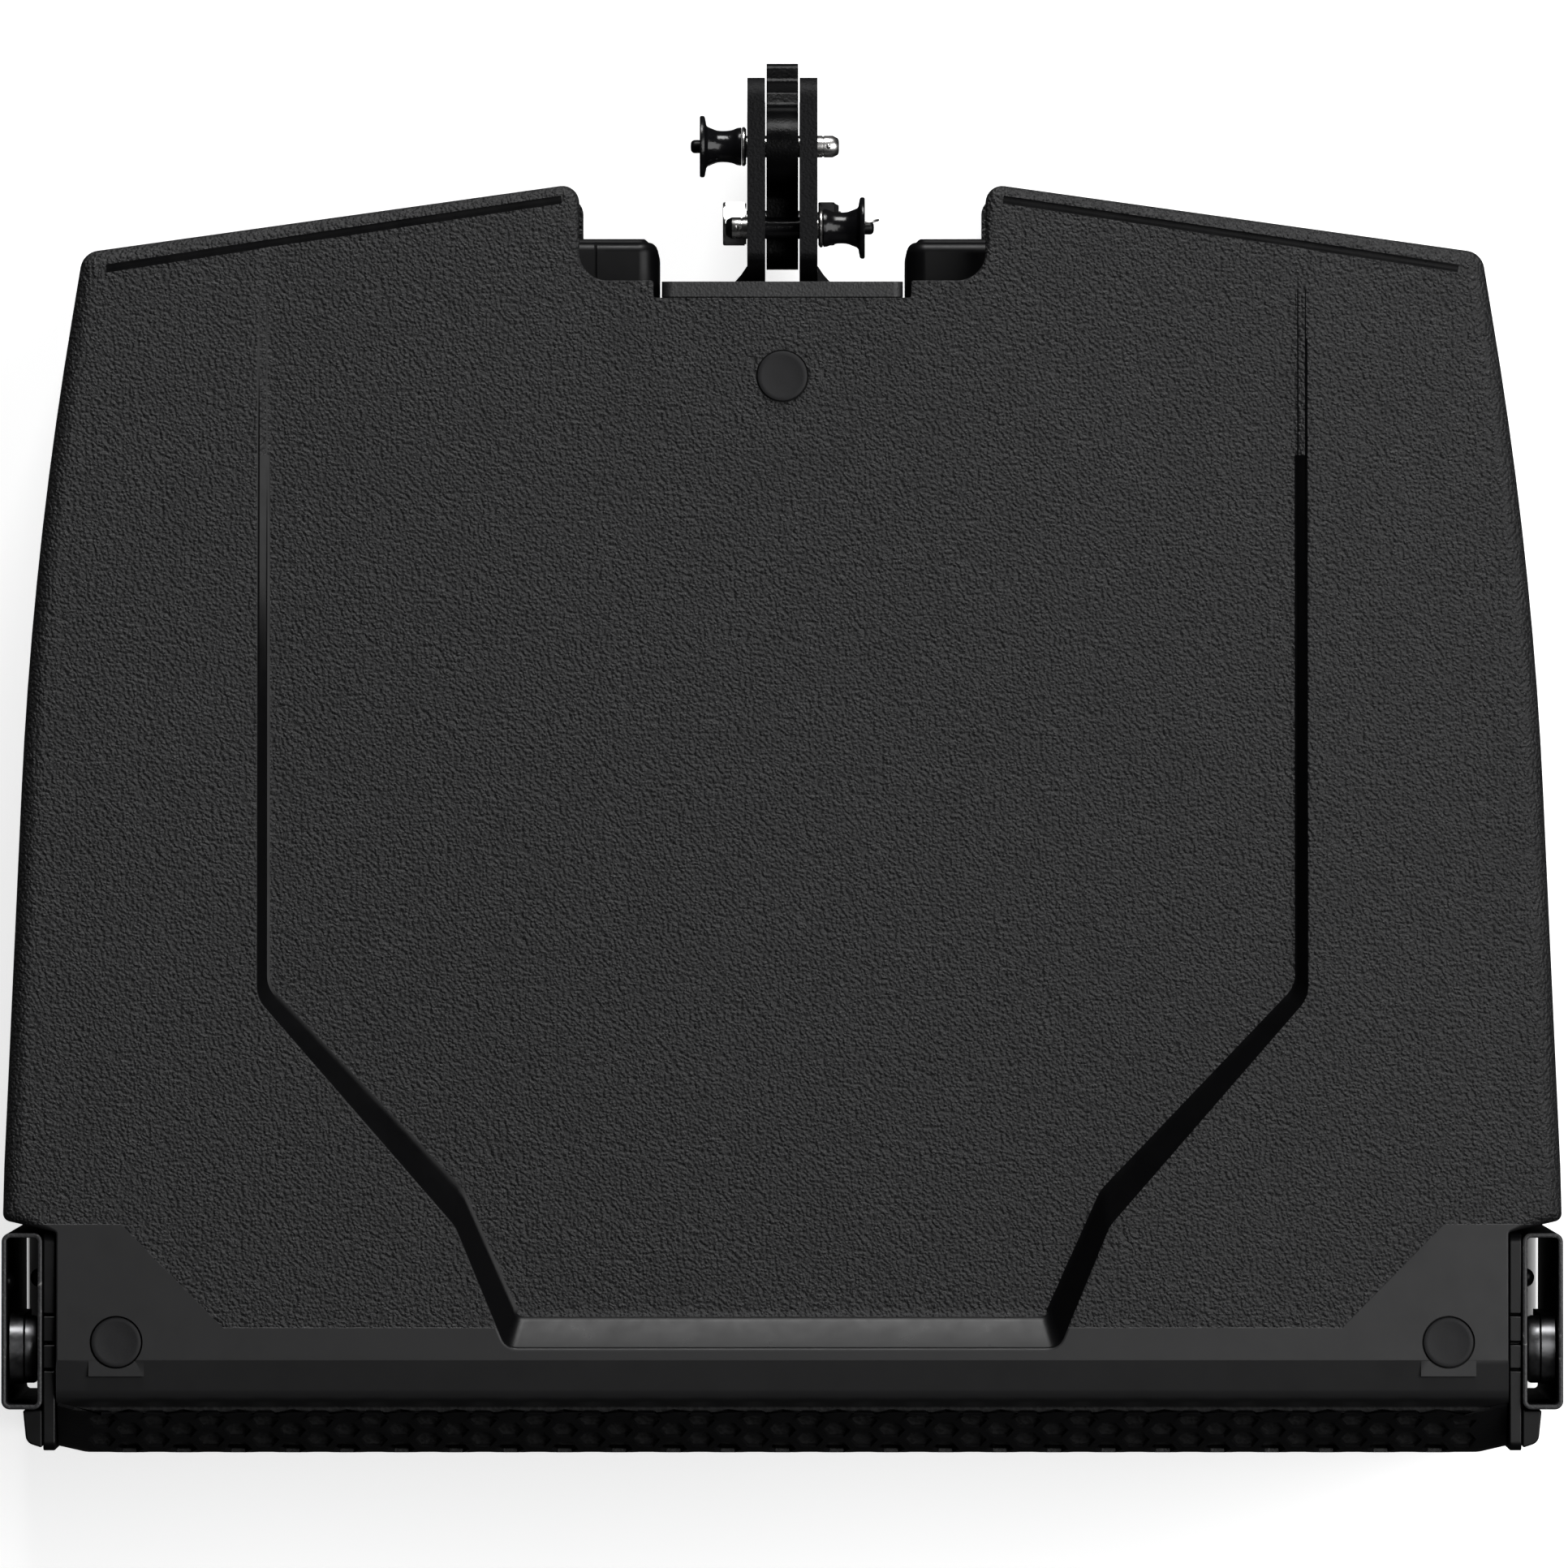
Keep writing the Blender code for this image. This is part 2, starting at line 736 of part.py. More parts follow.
def port(side, sign):
    """Flat reflex duct from its slot in the baffle into the cabinet."""
    middle = sign * PORT_X
    sides = (middle - PORT_HALF_WIDTH, middle + PORT_HALF_WIDTH)
    bore = rectangle(sides, PORT_Z, 2.5)
    skin = rectangle(
        (sides[0] - 1.4, sides[1] + 1.4), (PORT_Z[0] - 1.4, PORT_Z[1] + 1.4), 3.0
    )
    front, rear = BAFFLE_Y[0] + 1, PORT_REAR_Y
    rings = [[(a, front, b) for a, b in skin], [(a, rear, b) for a, b in skin]]
    rings += [[(a, rear, b) for a, b in bore], [(a, front, b) for a, b in bore]]
    name = f"reflex_port_{side}"
    finish(name, rings_mesh(name, rings, is_torus=True), "plastic_black")


# Front rigging ------------------------------------------------------------------------


def rigging_tube(side, sign):
    """Rectangular steel tube on the cabinet's front corner, open at both ends."""
    outer = rectangle(TUBE_X, TUBE_Y, 2.6, 3)
    bore_x = (TUBE_X[0] + TUBE_WALL, TUBE_X[1] - TUBE_WALL)
    bore_y = (TUBE_Y[0] + TUBE_WALL, TUBE_Y[1] - TUBE_WALL)
    bore = rectangle(bore_x, bore_y, 1.2, 3)
    top = TUBE_HALF_HEIGHT
    rings = [[(sign * a, b, -top) for a, b in outer]]
    rings += [[(sign * a, b, top) for a, b in outer]]
    rings += [[(sign * a, b, top) for a, b in bore]]
    rings += [[(sign * a, b, -top) for a, b in bore]]
    name = f"rigging_tube_{side}"
    tube = finish(name, rings_mesh(name, rings, is_torus=True), "steel_black")
    taper(tube)
    for z in (LINK_SLOT_Z[1], -LINK_NOSE_Z):
        hole = circle((LINK_CENTRE_Y, z), GUIDE_PIN_RADIUS + 0.3, 16)
        ends = sorted((sign * 215, sign * 240))
        cut(tube, prism("hole", hole, *ends, "steel_black", axis="x"))


def front_link(side, sign):
    """Sliding plate with a round nose, an eye, a guide slot and a facing disc."""
    radius = LINK_NOSE_RADIUS
    nose = arc((LINK_CENTRE_Y, LINK_NOSE_Z), radius, 0, pi, 10)
    foot = [(LINK_CENTRE_Y - radius, LINK_BOTTOM_Z), (LINK_CENTRE_Y + radius, LINK_BOTTOM_Z)]
    plate_x = sorted(sign * x for x in LINK_PLATE_X)
    disc_x = sorted((sign * LINK_DISC_X[0], sign * (LINK_DISC_X[1] + 0.6)))
    link = prism(f"front_link_{side}", nose + foot, *plate_x, "steel_bright", axis="x")
    disc = circle((LINK_CENTRE_Y, LINK_NOSE_Z), radius - 0.3, 24)
    join(link, prism("disc", disc, *disc_x, "steel_bright", axis="x"))
    slot_radius = GUIDE_PIN_RADIUS + 0.35
    slot = arc((LINK_CENTRE_Y, LINK_SLOT_Z[1]), slot_radius, 0, pi, 6)
    slot += arc((LINK_CENTRE_Y, LINK_SLOT_Z[0]), slot_radius, pi, 2 * pi, 6)
    eye = circle((LINK_CENTRE_Y, LINK_NOSE_Z + 1.5), 4.0, 16)
    ends = sorted((sign * 215, sign * 240))
    for outline in (slot, eye):
        cut(link, prism("opening", outline, *ends, "steel_bright", axis="x"))
    hold(flatten(link), (sign * LINK_PLATE_X[0], LINK_CENTRE_Y, LINK_NOSE_Z))
    lathe(
        f"guide_pin_{side}",
        [(GUIDE_PIN_RADIUS, sign * TUBE_X[0]), (GUIDE_PIN_RADIUS, sign * TUBE_X[1])],
        (LINK_CENTRE_Y, LINK_SLOT_Z[1]),
        "steel_bright",
        axis="x",
        steps=16,
    )


# Rear rigging -------------------------------------------------------------------------


def spine_plate():
    half = SPINE_HALF_WIDTH
    outline = rectangle((-half, half), (-SPINE_HALF_HEIGHT, SPINE_HALF_HEIGHT), 3)
    prism("spine_plate", outline, *SPINE_Y, "steel_black", axis="y")


def ear(side, sign):
    """Ear plate with its lobes, pin holes and weld gussets."""
    foot = SPINE_Y[1] + GAP
    outline = fillet(
        [
            (foot, 64, 0),
            (359.5, EAR_TOP_Z, 3),
            (414, EAR_TOP_Z, 7),
            (414, 42, 12),
            (390, 22, 12),
            (390, -38, 12),
            (410, -52, 10),
            (410, -82, 7),
            (359.5, -82, 3),
            (foot, -64, 0),
        ],
        3,
    )
    x = sorted(sign * a for a in EAR_X)
    name = f"ear_{side}"
    plate = prism(name, outline, *x, "steel_black", axis="x")
    for low, high in ((36, 62), (-60, -34)):
        bead = [(EAR_X[1] - 0.6, foot), (14.4, foot), (EAR_X[1] - 0.6, 357.4)]
        join(plate, prism("bead", [(sign * a, b) for a, b in bead], low, high, "steel_black"))
    for (y, z), radius in (
        (UPPER_PIN, PIN_RADIUS + 0.4),
        (LOWER_PIN, PIN_RADIUS + 0.4),
        (STACK_PIN, PIN_RADIUS + 0.5),
        (PIVOT, PIVOT_RADIUS + 0.3),
    ):
        hole = circle((y, z), radius, 16)
        cut(plate, prism("hole", hole, -20, 20, "steel_black", axis="x"))
    flatten(plate)


def rear_link():
    """Fan-shaped plate: wide foot on the pivot bolt, round nose on the upper pin."""
    nose = arc(UPPER_PIN, 11.0, pi, 0, 10)
    body = [
        (405.6, 61, 3),
        (410, 59, 1.5),
        (413.5, 51, 3),
        (419, 49, 2.5),
        (419, 14, 14),
        (357, 14, 14),
        (357, 60, 5),
        (381, 60, 4),
    ]
    rest = fillet([(*nose[-1], 0)] + body + [(*nose[0], 0)], 3, is_loop=False)[1:-1]
    half = LINK_HALF_THICKNESS
    link = prism("rear_link", nose + rest, -half, half, "steel_black", axis="x")
    eye = circle(PIVOT, PIVOT_RADIUS + 0.4, 16)
    cut(link, prism("eye", eye, -20, 20, "steel_black", axis="x"))
    spoke = Vector(UPPER_PIN) - Vector(PIVOT)
    width = PIN_RADIUS + 0.45
    ends = []
    for turn in (-REAR_LINK_SWING, REAR_LINK_SWING):
        arm = spoke.copy()
        arm.rotate(Matrix.Rotation(turn, 2))
        heading = Vector((-arm.y, arm.x)).angle_signed(Vector((1, 0)))
        first = heading - pi / 2 if turn > 0 else heading + pi / 2
        ends += arc(Vector(PIVOT) + arm, width, first, first + pi, 6)
    cut(link, prism("slot", ends, -20, 20, "steel_black", axis="x"))
    hold(flatten(link), (0, *PIVOT))


def pivot_bolt():
    """Hexagon bolt through both ears and the link, with its nut."""
    face = 13.0 / sqrt(3)
    hexagon = [
        (PIVOT[0] + face * sin(i * pi / 3), PIVOT[1] + face * cos(i * pi / 3))
        for i in range(6)
    ]
    bolt = prism("pivot_bolt", hexagon, -18.0, -EAR_X[1] - GAP, "steel_bright", axis="x")
    shank = circle(PIVOT, PIVOT_RADIUS, 16)
    join(bolt, prism("shank", shank, -12.0, 18.5, "steel_bright", axis="x"))
    nut = prism("pivot_nut", hexagon, EAR_X[1] + GAP, 17.1, "steel_bright", axis="x")
    bore = circle(PIVOT, PIVOT_RADIUS + GAP, 16)
    cut(nut, prism("bore", bore, 5, 25, "steel_bright", axis="x"))


def quick_pin(name, place, sign):
    """Quick-release pin: chamfered shaft, collar, waisted knob, flange, button."""
    inner = EAR_X[1] + GAP
    profile = [
        (2.0, -17.1),
        (PIN_RADIUS, -15.3),
        (PIN_RADIUS, inner),
        (5.3, inner),
        (5.9, 12.2),
        (5.75, 13.4),
        (4.9, 16.5),
        (4.9, 19.0),
        (5.6, 22.6),
        (9.3, 23.4),
        (9.3, 24.9),
        (2.4, 24.9),
        (2.4, 14.5),
    ]
    turned = [(radius, sign * x) for radius, x in profile]
    pin = lathe(name, turned, place, "steel_black", axis="x", steps=18)
    hold(pin, (0, *place))
    button = lathe(
        f"{name}_button",
        [(2.0, sign * 17.0), (2.0, sign * 27.2), (1.6, sign * 27.6)],
        place,
        "plastic_black",
        axis="x",
        steps=14,
    )
    hold(button, (sign * 17.0, *place))


# Rear electronics ---------------------------------------------------------------------


def hood(side, sign):
    """Deep frame round a rear panel, its rear edge rounded over."""

    def ring(y, by):
        low, high = HOOD_SIDES
        bottom, top = HOOD_Z
        corner = max(2.0, HOOD_CORNER - by)
        points = rectangle((low + by, high - by), (bottom + by, top - by), corner, 3)
        return [(sign * a, y, b) for a, b in points]

    front, rear = PANEL_Y[1] + GAP, HOOD_REAR_Y
    rings = [
        ring(front, 0),
        ring(rear - HOOD_WALL, 0),
        ring(rear - 1.3, 1.3),
        ring(rear, HOOD_WALL - 0.3),
        ring(rear - 1.0, HOOD_WALL + 0.7),
        ring(front, HOOD_WALL),
    ]
    name = f"hood_{side}"
    finish(name, rings_mesh(name, rings, is_torus=True), "plastic_black")


def rear_panel(side, sign):
    """Aluminium plate behind the hood, with a hole for each socket."""
    margin = 0.5
    x = sorted(sign * a for a in (HOOD_SIDES[0] + margin, HOOD_SIDES[1] - margin))
    outline = rectangle(x, (HOOD_Z[0] + margin, HOOD_Z[1] - margin), 4)
    panel = prism(f"rear_panel_{side}", outline, *PANEL_Y, "aluminium", axis="y")
    for place in SOCKETS.values():
        if place[0] * sign > 0:
            hole = circle(place, SOCKET_RADIUS + 0.4, 20)
            cut(panel, prism("hole", hole, 330, 350, "aluminium", axis="y"))


def socket(name, place):
    """Panel socket: square flange, barrel through the panel, open bore."""
    x, z = place
    half_x, half_z, thick = SOCKET_FLANGE
    front = PANEL_Y[1] + GAP
    flange = rectangle((x - half_x, x + half_x), (z - half_z, z + half_z), 3)
    label = f"{name}_socket"
    body = prism(label, flange, front, front + thick, "plastic_black", axis="y")
    barrel = circle(place, SOCKET_RADIUS, 20)
    join(body, prism("barrel", barrel, 322, front + 1, "plastic_black", axis="y"))
    bore = circle(place, SOCKET_BORE, 20)
    cut(body, prism("bore", bore, 326, 350, "plastic_black", axis="y"))
    flatten(body)


def knob(name, place):
    """Fluted rotary knob on the input panel; profile lists (height, radius, flute)."""
    front = PANEL_Y[1] + GAP
    points = 24
    profile = [(0, 7.5, 0.0), (2, 7.5, 0.0), (2.4, 6.6, 0.5), (11, 6.0, 0.5), (12, 5.2, 0.2)]
    rings = []
    for height, radius, flute in profile:
        ring = []
        for i in range(points):
            angle = 2 * pi * i / points
            reach = radius - flute * (i % 2)
            a, b = place[0] + reach * cos(angle), place[1] + reach * sin(angle)
            ring.append((a, front + height, b))
        rings.append(ring)
    made = finish(name, rings_mesh(name, rings), "plastic_black")
    hold(made, (place[0], front, place[1]))


def heatsink():
    """Finned block on the power panel."""
    low, high = HEATSINK_X
    base = PANEL_Y[1] + GAP
    tip = base + HEATSINK_DEPTH
    root = base + HEATSINK_BASE
    pitch = (high - low) / (HEATSINK_FINS * 2 - 1)
    outline = [(low, base), (high, base)]
    for i in range(HEATSINK_FINS):
        right = high - 2 * i * pitch
        outline += [(right, tip), (right - pitch, tip)]
        if i < HEATSINK_FINS - 1:
            outline += [(right - pitch, root), (right - 2 * pitch, root)]
    prism("heatsink", outline, *HEATSINK_Z, "aluminium")


def boards():
    """Circuit boards with their tall components as blocks of (x, z, depth)."""
    plans = {
        "amplifier_board": (-1, [((60, 96), (-50, -14), 12), ((112, 150), (10, 52), 20)]),
        "power_supply_board": (1, [((60, 110), (-20, 30), 26), ((128, 172), (-52, -22), 18)]),
    }
    rise = (-BOARD_HALF_HEIGHT, BOARD_HALF_HEIGHT)
    for name, (sign, blocks) in plans.items():
        x = sorted(sign * a for a in BOARD_X)
        plate = prism(name, rectangle(x, rise), *BOARD_Y, "board", axis="y")
        for span, height, depth in blocks:
            sides = sorted(sign * a for a in span)
            face = BOARD_Y[0] + 0.5
            outline = rectangle(sides, height)
            join(plate, prism("block", outline, face - depth, face + GAP, "board", axis="y"))
        flatten(plate)


# Assembly -----------------------------------------------------------------------------


def stand_on_feet():
    """Turn the module level on its feet, with the origin under its box's middle."""
    root = bpy.data.objects.new("cabinet_frame", None)
    bpy.context.scene.collection.objects.link(root)
    turn = Matrix.Rotation(-WEDGE, 4, "X")
    corners = []
    pieces = [item for item in bpy.context.scene.objects if item.type == "MESH"]
    for item in pieces:
        place = turn @ Matrix.Translation(item.location)
        corners += [place @ vertex.co for vertex in item.data.vertices]
        item.parent = root
    low = [min(corner[i] for corner in corners) for i in range(3)]
    high = [max(corner[i] for corner in corners) for i in range(3)]
    root.rotation_euler = (-WEDGE, 0, 0)
    root.location = (-(low[0] + high[0]) / 2, -(low[1] + high[1]) / 2, -low[2])


def build():
    clear_scene()
    half_shell("upper_shell", 1)
    half_shell("lower_shell", -1)
    pads_and_feet()
    baffle()
    grille_and_foam()
    horn_and_driver()
    for side, sign in (("left", -1), ("right", 1)):
        side_trim(side, sign)
        woofer(side, sign)
        port(side, sign)
        rigging_tube(side, sign)
        front_link(side, sign)
        ear(side, sign)
        hood(side, sign)
        rear_panel(side, sign)
    spine_plate()
    rear_link()
    pivot_bolt()
    quick_pin("upper_pin", UPPER_PIN, -1)
    quick_pin("lower_pin", LOWER_PIN, 1)
    for name, place in SOCKETS.items():
        socket(name, place)
    for name, place in KNOBS.items():
        knob(name, place)
    heatsink()
    boards()
    stand_on_feet()


build()
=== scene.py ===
from math import acos, atan2, cos, pi, radians, sin, sqrt, tan

import bmesh
import bpy
from mathutils import Matrix, Vector, noise


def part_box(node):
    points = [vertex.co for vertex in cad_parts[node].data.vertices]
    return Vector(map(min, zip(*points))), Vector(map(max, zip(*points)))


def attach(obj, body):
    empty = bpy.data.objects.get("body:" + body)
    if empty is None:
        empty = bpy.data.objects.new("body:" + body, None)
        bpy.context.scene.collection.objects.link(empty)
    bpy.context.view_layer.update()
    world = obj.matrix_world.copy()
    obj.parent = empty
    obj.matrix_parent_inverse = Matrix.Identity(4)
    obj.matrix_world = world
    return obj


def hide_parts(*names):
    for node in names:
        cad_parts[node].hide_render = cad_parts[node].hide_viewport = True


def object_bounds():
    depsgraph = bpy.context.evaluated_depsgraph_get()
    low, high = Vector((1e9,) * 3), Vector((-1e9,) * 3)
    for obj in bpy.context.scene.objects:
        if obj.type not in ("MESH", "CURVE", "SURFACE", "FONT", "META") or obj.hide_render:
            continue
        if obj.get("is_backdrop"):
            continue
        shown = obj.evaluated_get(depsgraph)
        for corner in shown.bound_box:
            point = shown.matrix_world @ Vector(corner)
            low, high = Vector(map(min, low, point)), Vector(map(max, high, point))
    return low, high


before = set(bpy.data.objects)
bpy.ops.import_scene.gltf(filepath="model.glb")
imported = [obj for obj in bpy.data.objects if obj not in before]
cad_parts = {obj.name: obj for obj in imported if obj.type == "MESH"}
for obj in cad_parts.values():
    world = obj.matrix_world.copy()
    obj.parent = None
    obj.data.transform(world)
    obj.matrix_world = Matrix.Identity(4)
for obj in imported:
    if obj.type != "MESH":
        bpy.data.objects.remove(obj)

# The looks of a compact line array speaker. Lengths below are millimetres in the cabinet's own
# frame: x to the right, y to the rear from near the grille, z up from the middle plane. The
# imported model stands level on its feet, so one matrix carries every new piece to its place.

cad_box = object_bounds()

MM = 0.001
WEDGE = radians(4.0)
PIVOT = (370.6, 44.0)
LR = (("left", -1), ("right", 1))


def middle(node):
    low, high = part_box(node)
    return (Vector(low) + Vector(high)) / 2


def cabinet_matrix():
    """Cabinet frame to world, worked out from where the pivot bolt lies."""
    turn = Matrix.Rotation(-WEDGE, 4, "X")
    shift = middle("pivot_bolt") - turn @ Vector((0, PIVOT[0] * MM, PIVOT[1] * MM))
    return Matrix.Translation((0, shift.y, shift.z)) @ turn


CABINET = cabinet_matrix()

# Cabinet
DECK = 116.0
SEAM_GAP = 0.3
WALL = 5.0
FRONT_RIM_Y = 14.0
STEP_Y = 68.8
STRIP_SIDE = 218.1
SIDE_WIDEST = 234.6
SIDE_DRAFT = 0.044
BOW_START_Y = 198.0
BOW = 4.25e-4
CREASE_Y = 28.1
CAVITY_REAR_Y = 335.0
BAY_Y = 341.0
BAY_SIDES = (36.9, 168.0)
BAY_HALF_HEIGHT = 104.0
WINDOW_SIDES = (50.0, 158.0)
WINDOW_Z = (-66.0, 48.0)

# The smooth front band ends on a slanting line; metres, as materials work in metres
BAND_CORNER = (0.1681, 0.0378)
BAND_SLOPE = 1.016

# Sunken panel: (x, y, corner radius) from the rear to the centre line
RECESS_TOP = [(157.6, 390, 0), (157.6, 137, 9), (98, 68.5, 12), (82.8, 31.7, 5)]
RECESS_FLOOR = [(154.7, 390, 0), (154.7, 140, 9), (96, 78.5, 12), (79.5, 41.7, 4)]
RECESS_END_Y = 366.0
RECESS_DEPTH = 9.2

SEATS = {"left": (-200.0, 33.4), "right": (200.0, 33.4), "rear": (0.0, 323.8)}
SEAT_RADIUS = 7.95
SEAT_DEPTH = 1.8
PAD_RADIUS = 7.55
FOOT_HEIGHT = 2.5

# Grille
GRILLE_Y = -0.2
GRILLE_LIP = (12.3, 108.5)
GRILLE_FACE_HALF = 93.0
GRILLE_SHEET = 1.2
HEX_PITCH = 9.45
HEX_FLATS = 7.2

# Front rigging
TUBE_X = (222.3, 234.5)
TUBE_Y = (13.2, 66.1)
TUBE_WALL = 1.4
TUBE_HALF_HEIGHT = 114.0
LINK_Y = 31.0
LINK_PLATE_X = (228.2, 232.3)
LINK_DISC_X = (224.0, 228.0)
LINK_RADIUS = 10.5
LINK_NOSE_Z = 94.0
LINK_BOTTOM_Z = 10.0
LINK_SLOT_Z = (34.0, 78.0)
GUIDE_PIN_RADIUS = 3.0

# Rear rigging
SPINE_Y = (347.7, 352.3)
SPINE_HALF_WIDTH = 36.3
SPINE_HALF_HEIGHT = 89.5
EAR_X = (5.25, 10.6)
EAR_TOP_Z = 84.0
LINK_HALF = 4.8
UPPER_PIN = (393.3, 73.0)
LOWER_PIN = (368.8, 70.0)
STACK_PIN = (398.0, -66.0)
SWING = radians(4.0)
PIN_RADIUS = 3.3
PIVOT_RADIUS = 4.0

# Rear panels
HOOD_SIDES = (37.5, 165.0)
HOOD_Z = (-76.0, 58.0)
HOOD_REAR_Y = 365.8
PANEL_Y = (341.3, 344.3)
SOCKETS = {
    "signal_input": (-78.0, 35.0),
    "signal_link": (-78.0, -53.0),
    "mains_inlet": (78.0, 35.0),
    "mains_link": (78.0, -53.0),
}
KNOBS = {
    "level_knob": (-146.0, 27.0),
    "cluster_knob": (-146.0, -9.0),
    "curve_knob": (-146.0, -45.0),
}
HEATSINK_X = (112.0, 154.0)
HEATSINK_Z = (-66.0, 48.0)
HEATSINK_FINS = 6


# Outlines -----------------------------------------------------------------------------


def arc(centre, radius, start, end, steps):
    """Points on an arc, both ends included; angles in radians."""
    span = end - start
    return [
        (
            centre[0] + radius * cos(start + span * i / steps),
            centre[1] + radius * sin(start + span * i / steps),
        )
        for i in range(steps + 1)
    ]


def circle(centre, radius, steps=48):
    return arc(centre, radius, 0, 2 * pi * (1 - 1 / steps), steps - 1)


def fillet(corners, steps=8, is_loop=True):
    """Round each (a, b, radius) corner of an outline; a radius of 0 stays sharp."""
    points = []
    last = len(corners) - 1
    for i, (a, b, radius) in enumerate(corners):
        if radius == 0 or (not is_loop and i in (0, last)):
            points.append((a, b))
            continue
        here = Vector((a, b))
        before = (Vector(corners[i - 1][:2]) - here).normalized()
        after = (Vector(corners[(i + 1) % len(corners)][:2]) - here).normalized()
        half = acos(max(-1.0, min(1.0, before.dot(after)))) / 2
        reach = radius / tan(half)
        centre = here + (before + after).normalized() * radius / sin(half)
        first = here + before * reach - centre
        final = here + after * reach - centre
        turn = pi - 2 * half
        if first.x * final.y - first.y * final.x < 0:
            turn = -turn
        for step in range(steps + 1):
            spoke = first.copy()
            spoke.rotate(Matrix.Rotation(turn * step / steps, 2))
            points.append(tuple(centre + spoke))
    return points


def rectangle(a, b, radius=0.0, steps=6):
    corners = [(a[0], b[0]), (a[1], b[0]), (a[1], b[1]), (a[0], b[1])]
    return fillet([(*corner, radius) for corner in corners], steps)


def inset(points, distance):
    """Move each point of an anticlockwise outline inwards; distance may be a list."""
    count = len(points)
    moved = []
    for i, point in enumerate(points):
        here = Vector(point)
        along = (here - Vector(points[i - 1])).normalized()
        onward = (Vector(points[(i + 1) % count]) - here).normalized()
        normal = Vector((-along.y - onward.y, along.x + onward.x)).normalized()
        stretch = max(0.5, normal.dot(Vector((-along.y, along.x))))
        shift = distance[i] if isinstance(distance, list) else distance
        moved.append(tuple(here + normal * shift / stretch))
    return moved


def mirrored(right):
    """Whole outline from its right half, which starts and ends on the centre line."""
    left = [(-point[0], *point[1:]) for point in reversed(right)]
    return right + [point for point in left if abs(point[0]) > 1e-6]


# Materials ----------------------------------------------------------------------------

looks = {}


class Graph:
    """A material's node tree with short calls for the nodes used here."""

    def __init__(self, name):
        self.material = bpy.data.materials.new(name)
        self.material.use_nodes = True
        self.tree = self.material.node_tree
        self.shader = self.tree.nodes["Principled BSDF"]
        self.place = self.add("ShaderNodeTexCoord").outputs["Object"]

    def add(self, kind, links=(), **settings):
        made = self.tree.nodes.new(kind)
        for key, value in settings.items():
            setattr(made, key, value)
        for socket, value in dict(links).items():
            self.put(made.inputs[socket], value)
        return made

    def put(self, socket, value):
        if isinstance(value, bpy.types.NodeSocket):
            self.tree.links.new(value, socket)
        elif hasattr(value, "__len__") and len(value) == 3 and socket.type == "RGBA":
            socket.default_value = (*value, 1.0)
        else:
            socket.default_value = value

    def math(self, operation, a, b=0.0, clamp=False):
        made = self.add("ShaderNodeMath", {0: a, 1: b}, operation=operation)
        made.use_clamp = clamp
        return made.outputs[0]

    def noise(self, scale, detail=3.0, rough=0.5, where=None, distortion=0.0):
        links = {"Vector": where or self.place, "Scale": scale, "Detail": detail}
        links |= {"Roughness": rough, "Distortion": distortion}
        return self.add("ShaderNodeTexNoise", links).outputs["Fac"]

    def voronoi(self, scale, feature="SMOOTH_F1", where=None, random=1.0):
        made = self.add("ShaderNodeTexVoronoi", feature=feature)
        self.put(made.inputs["Vector"], where or self.place)
        self.put(made.inputs["Scale"], scale)
        self.put(made.inputs["Randomness"], random)
        return made.outputs["Distance"]

    def span(self, value, low, high, to_low=0.0, to_high=1.0):
        links = {"Value": value, "From Min": low, "From Max": high}
        links |= {"To Min": to_low, "To Max": to_high}
        return self.add("ShaderNodeMapRange", links).outputs["Result"]

    def mix(self, share, first, second):
        made = self.add("ShaderNodeMix", data_type="RGBA")
        self.put(made.inputs[0], share)
        self.put(made.inputs[6], first)
        self.put(made.inputs[7], second)
        return made.outputs[2]

    def bump(self, height, strength, distance, under=None):
        links = {"Height": height, "Strength": strength, "Distance": distance}
        if under:
            links["Normal"] = under
        return self.add("ShaderNodeBump", links).outputs["Normal"]

    def set(self, **inputs):
        for key, value in inputs.items():
            self.put(self.shader.inputs[key.replace("_", " ").title()], value)
        return self.material


